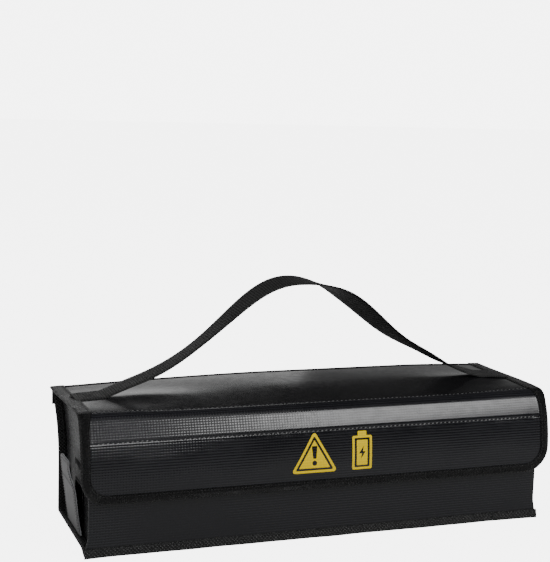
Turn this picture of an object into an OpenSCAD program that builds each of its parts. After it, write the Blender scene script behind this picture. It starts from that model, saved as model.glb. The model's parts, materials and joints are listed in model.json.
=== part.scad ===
// Long fire-resistant storage bag for rechargeable battery packs.
// A padded tub with a hinged lid, a front flap closed by hook and loop,
// a webbing carrying handle and a covered cable port in the left end.
// Millimetres. Origin at the centre of the underside, X along the bag,
// front towards -Y, Z up.

/* [Bag] */
// Length of the bag over the front panel
bag_length = 450; // [340:1:600]
// Depth of the bag from front cloth to back cloth
bag_depth = 140; // [110:1:190]
// Height of the walls up to the mouth
wall_top = 122; // [90:1:170]

/* [Front wall] */
// Height of the top stretch of the front wall that leans inwards
brow_drop = 24; // [20:1:34]
// How far the front wall leans inwards at the mouth
brow_setback = 8; // [5:0.5:11]

/* [Cloth layers] */
// Coated outer cloth
cloth_t = 1; // [0.6:0.1:1.6]
// Insulation felt inside the walls
felt_t = 4; // [2.5:0.5:6]
// Fireproof lining
lining_t = 0.6; // [0.4:0.1:1]
// Woven edge tape
tape_t = 0.8; // [0.5:0.1:1.1]

/* [Ends] */
// Depth of the recess in front of each end panel
end_recess = 8; // [5:0.5:11]
// Thickness of the bound seam around each recess
rim_t = 2.4; // [1.6:0.1:3.2]
// Height of the bound hem along the front bottom edge
hem_h = 9; // [6:0.5:12]
// How far the back hinge tape reaches down the back panel
hinge_tape_h = 14; // [8:1:22]

/* [Lid] */
// Thickness of the insulation felt in the lid
lid_felt_t = 6.1; // [4.5:0.1:7.5]
// How far the lid reaches past the tub at each end
lid_overhang = 9; // [6:0.5:12]
// Visible width of the tape on the lid's short edges
lid_tape_w = 14; // [10:0.5:18]
// Outer radius of the shoulder where the lid turns down
shoulder_r = 14; // [11:0.5:17]

/* [Flap] */
// Height of the flap's lower edge above the ground
flap_foot_z = 50; // [36:1:58]
// Radius that turns the flap from leaning to upright
skirt_r = 82; // [60:1:95]
// Radius of the flap's lower corners
flap_corner_r = 25; // [16:1:30]
// Visible width of the tape around the flap
flap_tape_w = 9; // [7:0.5:12]

/* [Closure] */
// Thickness of the hook strip on the front wall
hook_t = 1.4; // [0.9:0.1:1.8]
// Thickness of the loop strip inside the flap
loop_t = 1.2; // [0.8:0.1:1.6]
// Width of the closure strips
strip_w = 20; // [14:1:20]
// Distance from each end of the tub to the closure strips
strip_end_margin = 20; // [14:1:40]

/* [Handle] */
// Width of the webbing
webbing_w = 30; // [20:1:34]
// Thickness of the webbing
webbing_t = 2; // [1.4:0.1:2.6]
// Height of the handle's arch above the lid
arch_rise = 102; // [90:1:115]
// Length of webbing sewn flat at each end
sewn_length = 22; // [16:1:30]
// Offset of the handle from the middle of the bag, towards the back
handle_y = 2; // [-4:1:6]

/* [Cable port] */
// Width of the port's opening
port_w = 34; // [24:1:42]
// Height of the port's opening
port_h = 30; // [22:1:34]
// Height of the opening's lower edge
port_z = 15; // [12:1:17]
// Offset of the port from the middle of the end, towards the back
port_y = 7; // [-10:1:14]
// Width of the tape around the opening
port_tape_w = 3; // [2:0.5:4]
// Width of the cover tab
cover_w = 56; // [54:1:66]
// Height of the cover tab
cover_h = 66; // [64:1:74]
// Radius of the tab's upper corners
cover_corner_r = 9; // [4:1:12]
// Lean of the tab away from the end panel, in degrees
cover_lean = 7.5; // [6:0.5:9]
// Height of the small closure strips behind the tab
cover_strip_h = 12; // [8:1:14]

/* [Prints] */
// Width of the warning triangle
sign_w = 43; // [32:1:50]
// Height of the warning triangle
sign_h = 36; // [26:1:38]
// Width of the battery symbol
cell_w = 20; // [16:1:24]
// Height of the battery symbol with its cap
cell_h = 36; // [28:1:38]
// Height of both symbols' lower edge
print_z = 66; // [64:1:68]
// Position of the warning triangle along the bag
sign_x = -15; // [-40:1:0]
// Position of the battery symbol along the bag
cell_x = 33; // [25:1:60]
// Width of the symbols' rims, a little more than that of the open line inside them
line_w = 2.3; // [2:0.1:2.6]

/* [Clearances] */
// Gap between lid and mouth, and around the hinges
hinge_gap = 0.3; // [0.2:0.1:0.6]
// Gap between the hook and the loop strip
closure_gap = 0.4; // [0.3:0.1:0.6]
// Half of the gap between a moving cloth edge and its neighbour
split_gap = 0.5; // [0.4:0.1:0.8]
// Clearance of the folded handle above the lid's tape
fold_gap = 1.2; // [0.8:0.1:2]

/* [Hidden] */

$fn = 48;

// Colours
cloth_colour = [0.075, 0.075, 0.08];
tape_colour = [0.13, 0.13, 0.13];
felt_colour = [0.62, 0.60, 0.55];
lining_colour = [0.72, 0.73, 0.74];
velcro_colour = [0.16, 0.16, 0.17];
webbing_colour = [0.10, 0.10, 0.10];
print_colour = [0.93, 0.78, 0.10];

// Tub
half_l = bag_length / 2;
half_d = bag_depth / 2;
wall_t = cloth_t + felt_t + lining_t;
end_x = half_l - end_recess;          // outer face of each end panel
bay_x = end_x - wall_t;               // inner face of each end wall
edge_top = wall_top - tape_t;         // raw edge of the walls, under the mouth tape
brow_z = wall_top - brow_drop;

// Roof line: the outer surface of lid and flap in the YZ plane
lid_top = wall_top + hinge_gap + lining_t + lid_felt_t + cloth_t;
lid_half_l = half_l + lid_overhang;
lean = atan2(brow_setback, brow_drop);
lean_out = [-cos(lean), sin(lean)];   // outward direction of the leaning stretch
flap_stack = hook_t + closure_gap + loop_t + lining_t + cloth_t;
lean_foot = [-half_d, brow_z] + flap_stack * lean_out;
shoulder_z = lid_top - shoulder_r;
shoulder_y = (sin(lean) * shoulder_z - lean_out * lean_foot + shoulder_r) / cos(lean);
skirt_c = lean_foot - skirt_r * lean_out;
split_turn = (90 - lean) / 2;         // where the flap hinges, counted from the top
split_step = split_gap / shoulder_r * 180 / PI;
lid_axis = [half_d, wall_top + hinge_gap / 2];
back_y = lid_axis[0] - hinge_gap;     // back edge of the lid
arc_steps = 8;

// Handle
webbing_z = lid_top + webbing_t / 2;
pivot_h = webbing_w / 2 + tape_t + fold_gap - webbing_t / 2;
strap_end_x = lid_half_l - lid_tape_w - tape_t;
arch_half = strap_end_x - sewn_length;
arch_x = arch_half / 180 * acos(2 * pivot_h / arch_rise - 1);
strap_split = 3 * split_gap;          // the arch's ends stay this far from the roots
strap_steps = 36;
root_steps = 10;

// Cable port
cover_t = cloth_t + lining_t;
cover_foot_x = -end_x - hook_t - loop_t - cover_t - 2 * split_gap;
cover_foot_z = cloth_t + rim_t + hinge_gap + split_gap;
cover_strip_z = cover_h - cover_strip_h - 3;   // height above the tab's foot

// Prints
print_t = 0.4;

// A path is a list of [point, outward normal]
function along(path, offset_by) = [for (p = path) p[0] + offset_by * p[1]];
function about(middle, half) = [middle - half, middle + half];
function reversed(list) = [for (i = [len(list) - 1:-1:0]) list[i]];
function band(path, inner, outer) = concat(along(path, outer), reversed(along(path, inner)));
function turn_normal(turn) = [-sin(turn), cos(turn)];
function arc_path(centre, r, from, to) =
    [for (i = [0:arc_steps]) let (n = turn_normal(from + (to - from) * i / arc_steps))
        [centre + r * n, n]];

lid_path = concat([[[back_y, lid_top], [0, 1]]],
    arc_path([shoulder_y, shoulder_z], shoulder_r, 0, split_turn - split_step));
flap_path = concat(
    arc_path([shoulder_y, shoulder_z], shoulder_r, split_turn + split_step, 90 - lean),
    arc_path(skirt_c, skirt_r, 90 - lean, 90),
    [[[skirt_c[0] - skirt_r, flap_foot_z + tape_t], [-1, 0]]]);
flap_tape_path = concat([for (i = [0:len(flap_path) - 2]) flap_path[i]],
    [[[skirt_c[0] - skirt_r, flap_foot_z], [-1, 0]]]);

// Front wall line at a distance inside the outer cloth
function front_y(inset, z) = -half_d + inset
    + (z > brow_z ? brow_setback * (z - brow_z) / brow_drop : 0);
function wall_band(outer, inner, z0, z1) = [
    [front_y(outer, z0), z0], [front_y(outer, brow_z), brow_z], [front_y(outer, z1), z1],
    [front_y(inner, z1), z1], [front_y(inner, brow_z), brow_z], [front_y(inner, z0), z0]];
function end_outline(inset, z0, z1) = [
    [front_y(inset, z0), z0], [front_y(inset, brow_z), brow_z], [front_y(inset, z1), z1],
    [half_d - inset, z1], [half_d - inset, z0]];

// Webbing centre line in the XZ plane
function strap_z(x) = webbing_z
    + (abs(x) < arch_half ? arch_rise * (1 + cos(180 * x / arch_half)) / 2 : 0);
function strap_slope(x) =
    abs(x) < arch_half ? -arch_rise * PI / 2 / arch_half * sin(180 * x / arch_half) : 0;
function strap_path(x0, x1, steps) =
    [for (i = [0:steps]) let (x = x0 + (x1 - x0) * i / steps, s = strap_slope(x))
        [[x, strap_z(x)], [-s, 1] / norm([s, 1])]];

// Extrusions of a YZ outline along X and of an XZ outline along Y
module run_x(x0, x1) translate([x0, 0, 0]) rotate([90, 0, 90]) linear_extrude(x1 - x0) children();
module run_y(y0, y1) translate([0, y1, 0]) rotate([90, 0, 0]) linear_extrude(y1 - y0) children();
module block(x, y, z) translate([x[0], y[0], z[0]])
    cube([x[1] - x[0], y[1] - y[0], z[1] - z[0]]);

// Outer cloth
module front_panel() color(cloth_colour)
    run_x(-half_l, half_l) polygon(wall_band(0, cloth_t, 0, edge_top));
module back_panel() color(cloth_colour)
    block([-half_l, half_l], [half_d - cloth_t, half_d], [0, edge_top]);
module base_panel() color(cloth_colour)
    block([-half_l, half_l], [cloth_t - half_d, half_d - cloth_t], [0, cloth_t]);

// One layer of an end wall, from a depth behind the end panel's outer face
module end_layer(side, depth, thickness) {
    x = end_x - depth - thickness;
    run_x(side > 0 ? x : -x - thickness, side > 0 ? x + thickness : -x)
        polygon(end_outline(cloth_t, cloth_t, edge_top));
}
module port_cut()
    block([-half_l, -bay_x + 1], about(port_y, port_w / 2), [port_z, port_z + port_h]);
module left_end_layer(depth, thickness) difference() {
    end_layer(-1, depth, thickness);
    port_cut();
}
module left_end_panel() color(cloth_colour) left_end_layer(0, cloth_t);
module right_end_panel() color(cloth_colour) end_layer(1, 0, cloth_t);
module left_end_insulation() color(felt_colour) left_end_layer(cloth_t, felt_t);
module right_end_insulation() color(felt_colour) end_layer(1, cloth_t, felt_t);
module left_end_lining() color(lining_colour) left_end_layer(cloth_t + felt_t, lining_t);
module right_end_lining() color(lining_colour) end_layer(1, cloth_t + felt_t, lining_t);

// Insulation and lining of the long walls and the base
module front_insulation() color(felt_colour)
    run_x(-bay_x, bay_x) polygon(wall_band(cloth_t, cloth_t + felt_t, cloth_t + felt_t, edge_top));
module back_insulation() color(felt_colour)
    block([-bay_x, bay_x], [half_d - cloth_t - felt_t, half_d - cloth_t],
        [cloth_t + felt_t, edge_top]);
module base_insulation() color(felt_colour)
    block([-bay_x, bay_x], [cloth_t - half_d, half_d - cloth_t], [cloth_t, cloth_t + felt_t]);
module front_lining() color(lining_colour)
    run_x(-bay_x, bay_x) polygon(wall_band(cloth_t + felt_t, wall_t, wall_t, edge_top));
module back_lining() color(lining_colour)
    block([-bay_x, bay_x], [half_d - wall_t, half_d - cloth_t - felt_t], [wall_t, edge_top]);
module base_lining() color(lining_colour)
    block([-bay_x, bay_x], [cloth_t + felt_t - half_d, half_d - cloth_t - felt_t],
        [cloth_t + felt_t, wall_t]);

// Bound seam around the recess of an end
module rim_binding(side) run_x(side > 0 ? end_x : -half_l, side > 0 ? half_l : -end_x)
    difference() {
        polygon(end_outline(cloth_t, cloth_t, edge_top));
        polygon(end_outline(cloth_t + rim_t, cloth_t + rim_t, wall_top));
    }
module left_rim_binding() color(tape_colour) rim_binding(-1);
module right_rim_binding() color(tape_colour) rim_binding(1);
module front_hem_binding() color(tape_colour)
    block([-half_l, half_l], [-half_d - tape_t, -half_d], [0, hem_h]);

// Tape over the raw edges of the mouth
mouth_front_y = front_y(0, wall_top);
module mouth_binding_front() color(tape_colour)
    block([-end_x, end_x], [mouth_front_y, mouth_front_y + wall_t], [edge_top, wall_top]);
module mouth_binding_back() color(tape_colour)
    block([-end_x, end_x], [half_d - wall_t, half_d], [edge_top, wall_top]);
module mouth_binding_end(side) block(side > 0 ? [bay_x, end_x] : [-end_x, -bay_x],
    [mouth_front_y + wall_t, half_d - wall_t], [edge_top, wall_top]);
module mouth_binding_left() color(tape_colour) mouth_binding_end(-1);
module mouth_binding_right() color(tape_colour) mouth_binding_end(1);
module back_hinge_tape() color(tape_colour)
    block([-half_l, half_l], [half_d, half_d + tape_t], [edge_top - hinge_tape_h, edge_top]);

// Closure strips: hooks on the leaning top of the front wall, loops inside the flap
strip_x = half_l - strip_end_margin;
lean_run = norm([shoulder_y, shoulder_z] + shoulder_r * lean_out - lean_foot);
strip_low = (lean_run - strip_w) / 2;  // centred on the flap's straight stretch
function lean_point(distance, out) = [-half_d, brow_z] + distance * [sin(lean), cos(lean)]
    + out * lean_out;
module closure_strip(out, thickness) run_x(-strip_x, strip_x) polygon([
    lean_point(strip_low, out), lean_point(strip_low + strip_w, out),
    lean_point(strip_low + strip_w, out + thickness), lean_point(strip_low, out + thickness)]);
module closure_hook_strip() color(velcro_colour) closure_strip(0, hook_t);
module closure_loop_strip() color(velcro_colour) closure_strip(hook_t + closure_gap, loop_t);

// Lid
module lid_panel() color(cloth_colour)
    run_x(tape_t - lid_half_l, lid_half_l - tape_t) polygon(band(lid_path, -cloth_t, 0));
lid_inner_x = end_x + cloth_t;
module lid_insulation() color(felt_colour)
    block([-lid_inner_x, lid_inner_x], [shoulder_y, back_y],
        [wall_top + hinge_gap + lining_t, lid_top - cloth_t]);
module lid_lining() color(lining_colour)
    block([-lid_inner_x, lid_inner_x], [shoulder_y, back_y],
        [wall_top + hinge_gap, wall_top + hinge_gap + lining_t]);
module lid_binding(side) difference() {
    run_x(side > 0 ? lid_half_l - lid_tape_w : -lid_half_l,
        side > 0 ? lid_half_l : lid_tape_w - lid_half_l)
        polygon(band(lid_path, -cloth_t - tape_t, tape_t));
    run_x(tape_t - lid_half_l, lid_half_l - tape_t) polygon(band(lid_path, -cloth_t, 0));
}
module lid_left_binding() color(tape_colour) lid_binding(-1);
module lid_right_binding() color(tape_colour) lid_binding(1);

// Flap: layers that follow the roof line, cut to an outline with round lower corners
module flap_outline(inset) {
    w = lid_half_l - inset;
    foot = flap_foot_z + inset;
    r = flap_corner_r - inset;
    translate([-w, foot + r]) square([2 * w, lid_top - foot]);
    translate([r - w, foot]) square([2 * (w - r), lid_top - foot]);
    for (side = [-1, 1]) translate([side * (w - r), foot + r]) circle(r);
}
flap_front = skirt_c[0] - skirt_r - 2 * tape_t;
module flap_layer(inner, outer, inset) intersection() {
    run_x(-lid_half_l, lid_half_l) polygon(band(flap_tape_path, inner, outer));
    run_y(flap_front, 0) flap_outline(inset);
}
module flap_panel() color(cloth_colour) flap_layer(-cloth_t, 0, tape_t);
module flap_lining() color(lining_colour) flap_layer(-cloth_t - lining_t, -cloth_t, tape_t);
module flap_binding() color(tape_colour) difference() {
    flap_layer(-cloth_t - lining_t - tape_t, tape_t, 0);
    flap_layer(-cloth_t - lining_t, 0, tape_t);
    run_y(flap_front, 0) flap_outline(flap_tape_w);
}

// Printed symbols on the flap
module printed(height = print_t) intersection() {
    run_x(sign_x - sign_w, cell_x + cell_w) polygon(band(flap_path, 0, height));
    run_y(flap_front, 0) children();
}
module triangle(inset) {
    shrink = 1 - inset * (sign_w + 2 * norm([sign_w / 2, sign_h])) / (sign_w * sign_h);
    translate([0, inset])
        polygon([[-sign_w / 2 * shrink, 0], [sign_w / 2 * shrink, 0], [0, sign_h * shrink]]);
}
module warning_print() color(print_colour) printed() translate([sign_x, print_z]) {
    difference() {
        triangle(0);
        triangle(line_w);
    }
    difference() {
        triangle(1.8 * line_w);
        polygon([[-line_w / 2, sign_h * 0.36], [line_w / 2, sign_h * 0.36],
            [line_w * 0.9, sign_h * 0.67], [-line_w * 0.9, sign_h * 0.67]]);
        translate([0, sign_h * 0.24]) circle(line_w * 0.85);
    }
}
module cell(inset) translate([inset - cell_w / 2, inset])
    square([cell_w - 2 * inset, cell_h - 1.8 * line_w - 2 * inset]);
module battery_print() color(print_colour) printed() translate([cell_x, print_z]) {
    difference() {
        cell(0);
        cell(line_w);
    }
    difference() {
        cell(1.9 * line_w);
        translate([0, cell_h * 0.44]) scale(cell_w / 20)
            polygon([[-0.2, -0.7], [-2.7, -0.7], [1.2, 4.8], [0.5, 0.7], [2.7, 0.7], [-1, -4.8]]);
    }
    translate([-cell_w * 0.22, cell_h - 1.8 * line_w])
        square([cell_w * 0.44, 1.8 * line_w]);
}

// Handle: two sewn roots on the lid and the free arch between them
module webbing(path) run_y(handle_y - webbing_w / 2, handle_y + webbing_w / 2)
    polygon(band(path, -webbing_t / 2, webbing_t / 2));
module handle_strap() color(webbing_colour)
    webbing(strap_path(strap_split - arch_x, arch_x - strap_split, strap_steps));
module handle_root() webbing(concat(
    [[[-strap_end_x, webbing_z], [0, 1]]], strap_path(-arch_half, -arch_x, root_steps)));
module handle_left_root() color(webbing_colour) handle_root();
module handle_right_root() color(webbing_colour) mirror([1, 0, 0]) handle_root();

// Cable port: tape around the opening, cover tab hinged at its foot, closure strips
module port_binding() color(tape_colour) difference() {
    block([-end_x - tape_t, -end_x], about(port_y, port_w / 2 + port_tape_w),
        [port_z - port_tape_w, port_z + port_h + port_tape_w]);
    port_cut();
}
module port_hook_strip() color(velcro_colour)
    block([-end_x - hook_t, -end_x], about(port_y, port_w / 2),
        [cover_foot_z + cover_strip_z, cover_foot_z + cover_strip_z + cover_strip_h]);
module on_cover() translate([cover_foot_x, port_y, cover_foot_z]) rotate([0, -cover_lean, 0])
    children();
module cover_layer(depth, thickness) on_cover() translate([depth, 0, 0])
    run_x(0, thickness) {
        r = cover_corner_r;
        translate([-cover_w / 2, 0]) square([cover_w, cover_h - r]);
        translate([r - cover_w / 2, 0]) square([cover_w - 2 * r, cover_h]);
        for (side = [-1, 1]) translate([side * (cover_w / 2 - r), cover_h - r]) circle(r);
    }
module port_cover() color(cloth_colour) cover_layer(0, cloth_t);
module port_cover_lining() color(lining_colour) cover_layer(cloth_t, lining_t);
module port_loop_strip() color(velcro_colour) on_cover()
    block([cover_t, cover_t + loop_t], about(0, port_w / 2),
        [cover_strip_z, cover_strip_z + cover_strip_h]);

front_panel();
back_panel();
base_panel();
left_end_panel();
right_end_panel();
front_insulation();
back_insulation();
base_insulation();
left_end_insulation();
right_end_insulation();
front_lining();
back_lining();
base_lining();
left_end_lining();
right_end_lining();
left_rim_binding();
right_rim_binding();
front_hem_binding();
mouth_binding_front();
mouth_binding_back();
mouth_binding_left();
mouth_binding_right();
closure_hook_strip();
back_hinge_tape();
port_binding();
port_hook_strip();
lid_panel();
lid_insulation();
lid_lining();
lid_left_binding();
lid_right_binding();
handle_left_root();
handle_right_root();
flap_panel();
flap_lining();
flap_binding();
closure_loop_strip();
warning_print();
battery_print();
handle_strap();
port_cover();
port_cover_lining();
port_loop_strip();
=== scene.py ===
"""Looks of a long fire-resistant bag for battery packs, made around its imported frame.

Every length is in metres, and every place comes from the frame or from a named size.
"""

import json
import logging
import math
from dataclasses import dataclass, field
from enum import Enum

import bpy
import numpy as np
from mathutils import Matrix, Vector


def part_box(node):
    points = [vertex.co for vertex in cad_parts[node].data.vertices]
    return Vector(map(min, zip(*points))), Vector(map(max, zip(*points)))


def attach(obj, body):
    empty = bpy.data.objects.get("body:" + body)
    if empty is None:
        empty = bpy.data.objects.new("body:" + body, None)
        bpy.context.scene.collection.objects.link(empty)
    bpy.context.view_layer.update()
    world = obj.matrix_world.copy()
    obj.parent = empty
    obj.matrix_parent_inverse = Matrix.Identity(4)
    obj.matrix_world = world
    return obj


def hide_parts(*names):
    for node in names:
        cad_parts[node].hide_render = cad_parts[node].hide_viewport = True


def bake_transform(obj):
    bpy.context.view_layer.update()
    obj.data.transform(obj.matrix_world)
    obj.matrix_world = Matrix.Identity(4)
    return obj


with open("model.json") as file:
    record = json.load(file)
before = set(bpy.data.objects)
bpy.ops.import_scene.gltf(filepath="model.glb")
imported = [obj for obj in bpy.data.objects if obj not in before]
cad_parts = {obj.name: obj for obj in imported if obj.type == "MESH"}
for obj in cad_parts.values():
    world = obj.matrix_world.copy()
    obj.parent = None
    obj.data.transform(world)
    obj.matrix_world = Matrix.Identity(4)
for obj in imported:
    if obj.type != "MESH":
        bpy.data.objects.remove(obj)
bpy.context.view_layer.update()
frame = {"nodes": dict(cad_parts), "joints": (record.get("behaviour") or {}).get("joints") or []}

MM = 0.001
LEFT = np.array([-1.0, 0.0, 0.0])
FRONT = np.array([0.0, -1.0, 0.0])
UP = np.array([0.0, 0.0, 1.0])
DOWN_SLOPE = np.array([0.0, -0.8, 0.6])
SIDES = ((-1, "left"), (1, "right"))
log = logging.getLogger("bag")


# ---------------------------------------------------------------- small helpers


def smooth(x: np.ndarray) -> np.ndarray:
    """The ramp 3x^2 - 2x^3 from 0 to 1, flat outside."""
    x = np.clip(x, 0.0, 1.0)
    return x * x * (3 - 2 * x)


def bell(x: np.ndarray, centre: float, width: float) -> np.ndarray:
    """exp(-((x - centre) / width)^2)."""
    return np.exp(-(((x - centre) / width) ** 2))


def waves(u: np.ndarray, v: np.ndarray, length: float, seed: int, count: int = 7) -> np.ndarray:
    """Sum of plane cosine waves of about one wavelength in seeded directions, from -1 to 1.

    Args:
        u, v: places on the cloth, in metres.
        length: the middle wavelength.
        seed: fixes the directions and phases.
        count: how many waves are summed.

    Returns:
        The sum, divided by the square root of twice the count.
    """
    rng = np.random.default_rng(seed)
    angle = rng.uniform(0, math.pi, count)
    phase = rng.uniform(0, 2 * math.pi, count)
    wave = 2 * math.pi / (length * rng.uniform(0.6, 1.6, count))
    total = np.zeros(np.broadcast(u, v).shape)
    for a, p, k in zip(angle, phase, wave):
        total += np.cos(k * (u * math.cos(a) + v * math.sin(a)) + p)
    return total / math.sqrt(2 * count)


def stacked(*parts: object) -> np.ndarray:
    """Numbers and arrays spread to one shape and stacked along a new last axis."""
    return np.stack(np.broadcast_arrays(*parts), -1)


def sampled(at: np.ndarray, s: np.ndarray, rows: np.ndarray) -> np.ndarray:
    """The rows of an array, which lie at lengths s, interpolated at other lengths."""
    return np.stack([np.interp(at, s, rows[:, k]) for k in range(rows.shape[1])], -1)


def unit(v: np.ndarray) -> np.ndarray:
    """Vectors along the last axis, each divided by its length."""
    return v / np.maximum(np.linalg.norm(v, axis=-1, keepdims=True), 1e-12)


def arc_length(points: np.ndarray) -> np.ndarray:
    """Distance along a polyline from its first point to each point."""
    steps = np.linalg.norm(np.diff(points, axis=0), axis=-1)
    return np.concatenate([[0.0], np.cumsum(steps)])


def rounded_path(corners: list, radius: float, spacing: float, closed: bool = False) -> np.ndarray:
    """A 2D polyline whose corners are circular fillets, resampled at even steps.

    Each inner corner is replaced by the arc that touches both of its sides, and the
    result is interpolated along its own length.

    Args:
        corners: the corner points.
        radius: fillet radius, cut down where a side is short.
        spacing: distance between the returned points.
        closed: joins the last corner to the first.

    Returns:
        Points as an (n, 2) array; a closed path repeats its first point at the end.
    """
    p = np.asarray(corners, float)
    out = [] if closed else [p[0]]
    order = range(len(p)) if closed else range(1, len(p) - 1)
    for i in order:
        here, before, after = p[i], p[i - 1], p[(i + 1) % len(p)]
        a, b = unit(before - here), unit(after - here)
        half = math.acos(float(np.clip(a @ b, -1, 1))) / 2
        if half > math.pi / 2 - 1e-3:
            out.append(here)
            continue
        reach = min(radius / math.tan(half), 0.49 * np.linalg.norm(before - here),
                    0.49 * np.linalg.norm(after - here))
        r = reach * math.tan(half)
        middle = here + unit(a + b) * (r / math.sin(half))
        start, end = here + a * reach - middle, here + b * reach - middle
        turn = math.atan2(start[0] * end[1] - start[1] * end[0], start @ end)
        t = np.linspace(0, turn, 9)[:, None]
        side = np.array([-start[1], start[0]])
        out.extend(middle + np.cos(t) * start + np.sin(t) * side)
    out.append(out[0] if closed else p[-1])
    line = np.array(out)
    s = arc_length(line)
    count = max(int(round(s[-1] / spacing)), 2)
    return sampled(np.linspace(0, s[-1], count + 1), s, line)


def crowded(half: float, r: float, bends: int, middles: int) -> np.ndarray:
    """Places from -half to half that crowd together, as r sin, within r of both ends."""
    bend = half - r + r * np.sin(np.linspace(0, math.pi / 2, bends))
    return np.concatenate([-bend[::-1], np.linspace(r - half, half - r, middles)[1:-1], bend])


def round_edge(x: np.ndarray, half: float, far: float, r: float) -> np.ndarray:
    """The straight edge far, which falls away in quarter circles within r of both ends."""
    over = np.clip(np.abs(x) - (half - r), 0, r)
    return far - r + np.sqrt(np.maximum(r * r - over * over, 0.0))


def tangents(line: np.ndarray, closed: bool = False) -> np.ndarray:
    """Unit tangents of a polyline by central differences.

    Args:
        line: the points; a closed line repeats its first point.
        closed: differences run across the line's ends.

    Returns:
        One unit vector for each point.
    """
    if closed:
        ring = line[:-1]
        t = np.roll(ring, -1, 0) - np.roll(ring, 1, 0)
        return unit(np.concatenate([t, t[:1]]))
    return unit(np.gradient(line, axis=0))


# ---------------------------------------------------------------- meshes


@dataclass
class Patch:
    """Points, quads, cloth coordinates in metres and distance to the nearest cut edge.

    A point's calm is 1 where the cloth is stretched smooth and 0 where its weave shows.
    """

    points: np.ndarray
    quads: np.ndarray
    uv: np.ndarray
    edge: np.ndarray
    caps: list = field(default_factory=list)
    calm: np.ndarray | None = None

    def __add__(self, other: "Patch") -> "Patch":
        """Both patches as one, with the second one's indices moved up."""
        n = len(self.points)
        return Patch(
            np.concatenate([self.points, other.points]),
            np.concatenate([self.quads, other.quads + n]),
            np.concatenate([self.uv, other.uv]),
            np.concatenate([self.edge, other.edge]),
            self.caps + [[i + n for i in cap] for cap in other.caps],
        )


def grid_normals(points: np.ndarray) -> np.ndarray:
    """Unit normals of a grid of points, as the cross product of its two differences."""
    return unit(np.cross(np.gradient(points, axis=0), np.gradient(points, axis=1)))


def ring_quads(idx: np.ndarray) -> np.ndarray:
    """Quads between the rows of an index grid whose columns close into rings."""
    after = np.roll(idx, -1, 1)
    return np.stack([idx[:-1], after[:-1], after[1:], idx[1:]], -1).reshape(-1, 4)


def sheet_patch(points: np.ndarray, outward: np.ndarray, thickness: float, uv: np.ndarray,
                keep: np.ndarray | None = None) -> Patch:
    """A closed thin wall: a grid, its copy moved inwards along the normals, and its rims.

    Args:
        points: outer surface, shape (nu, nv, 3).
        outward: a vector that the outer surface faces, one for all or one per point.
        thickness: how far inwards the second surface lies.
        uv: cloth coordinates of each point, in metres.
        keep: cells to keep, shape (nu - 1, nv - 1); the others become openings.

    Returns:
        The closed patch, its faces pointing out of the cloth.
    """
    nu, nv = points.shape[:2]
    normal = grid_normals(points)
    flip = float(np.sum(normal * outward)) < 0
    if flip:
        normal = -normal
    keep = np.ones((nu - 1, nv - 1), bool) if keep is None else keep
    idx = np.arange(nu * nv).reshape(nu, nv)
    n = nu * nv
    quad = np.stack([idx[:-1, :-1], idx[1:, :-1], idx[1:, 1:], idx[:-1, 1:]], -1)
    outer = quad[keep]
    inner = outer[:, ::-1] + n
    pad = np.pad(keep, 1)
    along_u = np.stack([idx[:-1, :], idx[1:, :]], -1)
    along_v = np.stack([idx[:, :-1], idx[:, 1:]], -1)
    above, below = pad[1:-1, 1:], pad[1:-1, :-1]
    right, left = pad[1:, 1:-1], pad[:-1, 1:-1]
    rims = []
    for lines, mask, (a, b) in (
            (along_u, above & ~below, (1, 0)), (along_u, below & ~above, (0, 1)),
            (along_v, right & ~left, (0, 1)), (along_v, left & ~right, (1, 0))):
        e = lines[mask]
        rims.append(np.stack([e[:, a], e[:, b], e[:, b] + n, e[:, a] + n], -1))
    quads = np.concatenate([outer, inner, *rims])
    if flip:
        quads = quads[:, ::-1]
    both = np.concatenate([points.reshape(-1, 3), (points - normal * thickness).reshape(-1, 3)])
    flat = uv.reshape(-1, 2)
    low, high = flat.min(0), flat.max(0)
    edge = np.minimum(flat - low, high - flat).min(1)
    used, where = np.unique(quads, return_inverse=True)
    return Patch(both[used], where.reshape(quads.shape), np.tile(flat, (2, 1))[used],
                 np.tile(edge, 2)[used])


def sweep_patch(path: np.ndarray, across: np.ndarray, up: np.ndarray, profile: np.ndarray,
                closed: bool = False, scale: np.ndarray | None = None) -> Patch:
    """A closed profile carried along a path: path + a * across + b * up.

    Args:
        path: points, shape (n, 3); a closed path repeats its first point.
        across, up: the profile's two directions, one for all points or one for each.
        profile: points (a, b) of the closed profile, anticlockwise seen against the path.
        closed: the path is a ring, so it gets no end caps.
        scale: optional factor on b at each point of the path.

    Returns:
        The tube, with the path's length and the profile's length as cloth coordinates.
    """
    n, m = len(path), len(profile)
    across, up = np.broadcast_to(across, path.shape), np.broadcast_to(up, path.shape)
    b = profile[None, :, 1, None] * (1.0 if scale is None else scale[:, None, None])
    points = path[:, None] + profile[None, :, 0, None] * across[:, None] + b * up[:, None]
    idx = np.arange(n * m).reshape(n, m)
    if closed:
        idx = np.concatenate([idx[:-1], idx[:1]])
    quads = ring_quads(idx)
    girth = arc_length(np.concatenate([profile, profile[:1]]))[:-1]
    uv = stacked(arc_length(path)[:, None], girth).reshape(-1, 2)
    spread = profile[:, 0]
    edge = np.minimum(spread - spread.min(), spread.max() - spread)
    caps = [] if closed else [list(idx[0][::-1]), list(idx[-1])]
    forward = np.einsum("ij,ij->i", np.cross(across, up), np.gradient(path, axis=0)).sum()
    area = np.sum(profile[:, 0] * np.roll(profile[:, 1], -1)
                  - np.roll(profile[:, 0], -1) * profile[:, 1])
    if forward * area < 0:
        quads = quads[:, ::-1]
        caps = [cap[::-1] for cap in caps]
    return Patch(points.reshape(-1, 3), quads, uv, np.tile(edge, n), caps)


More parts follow.
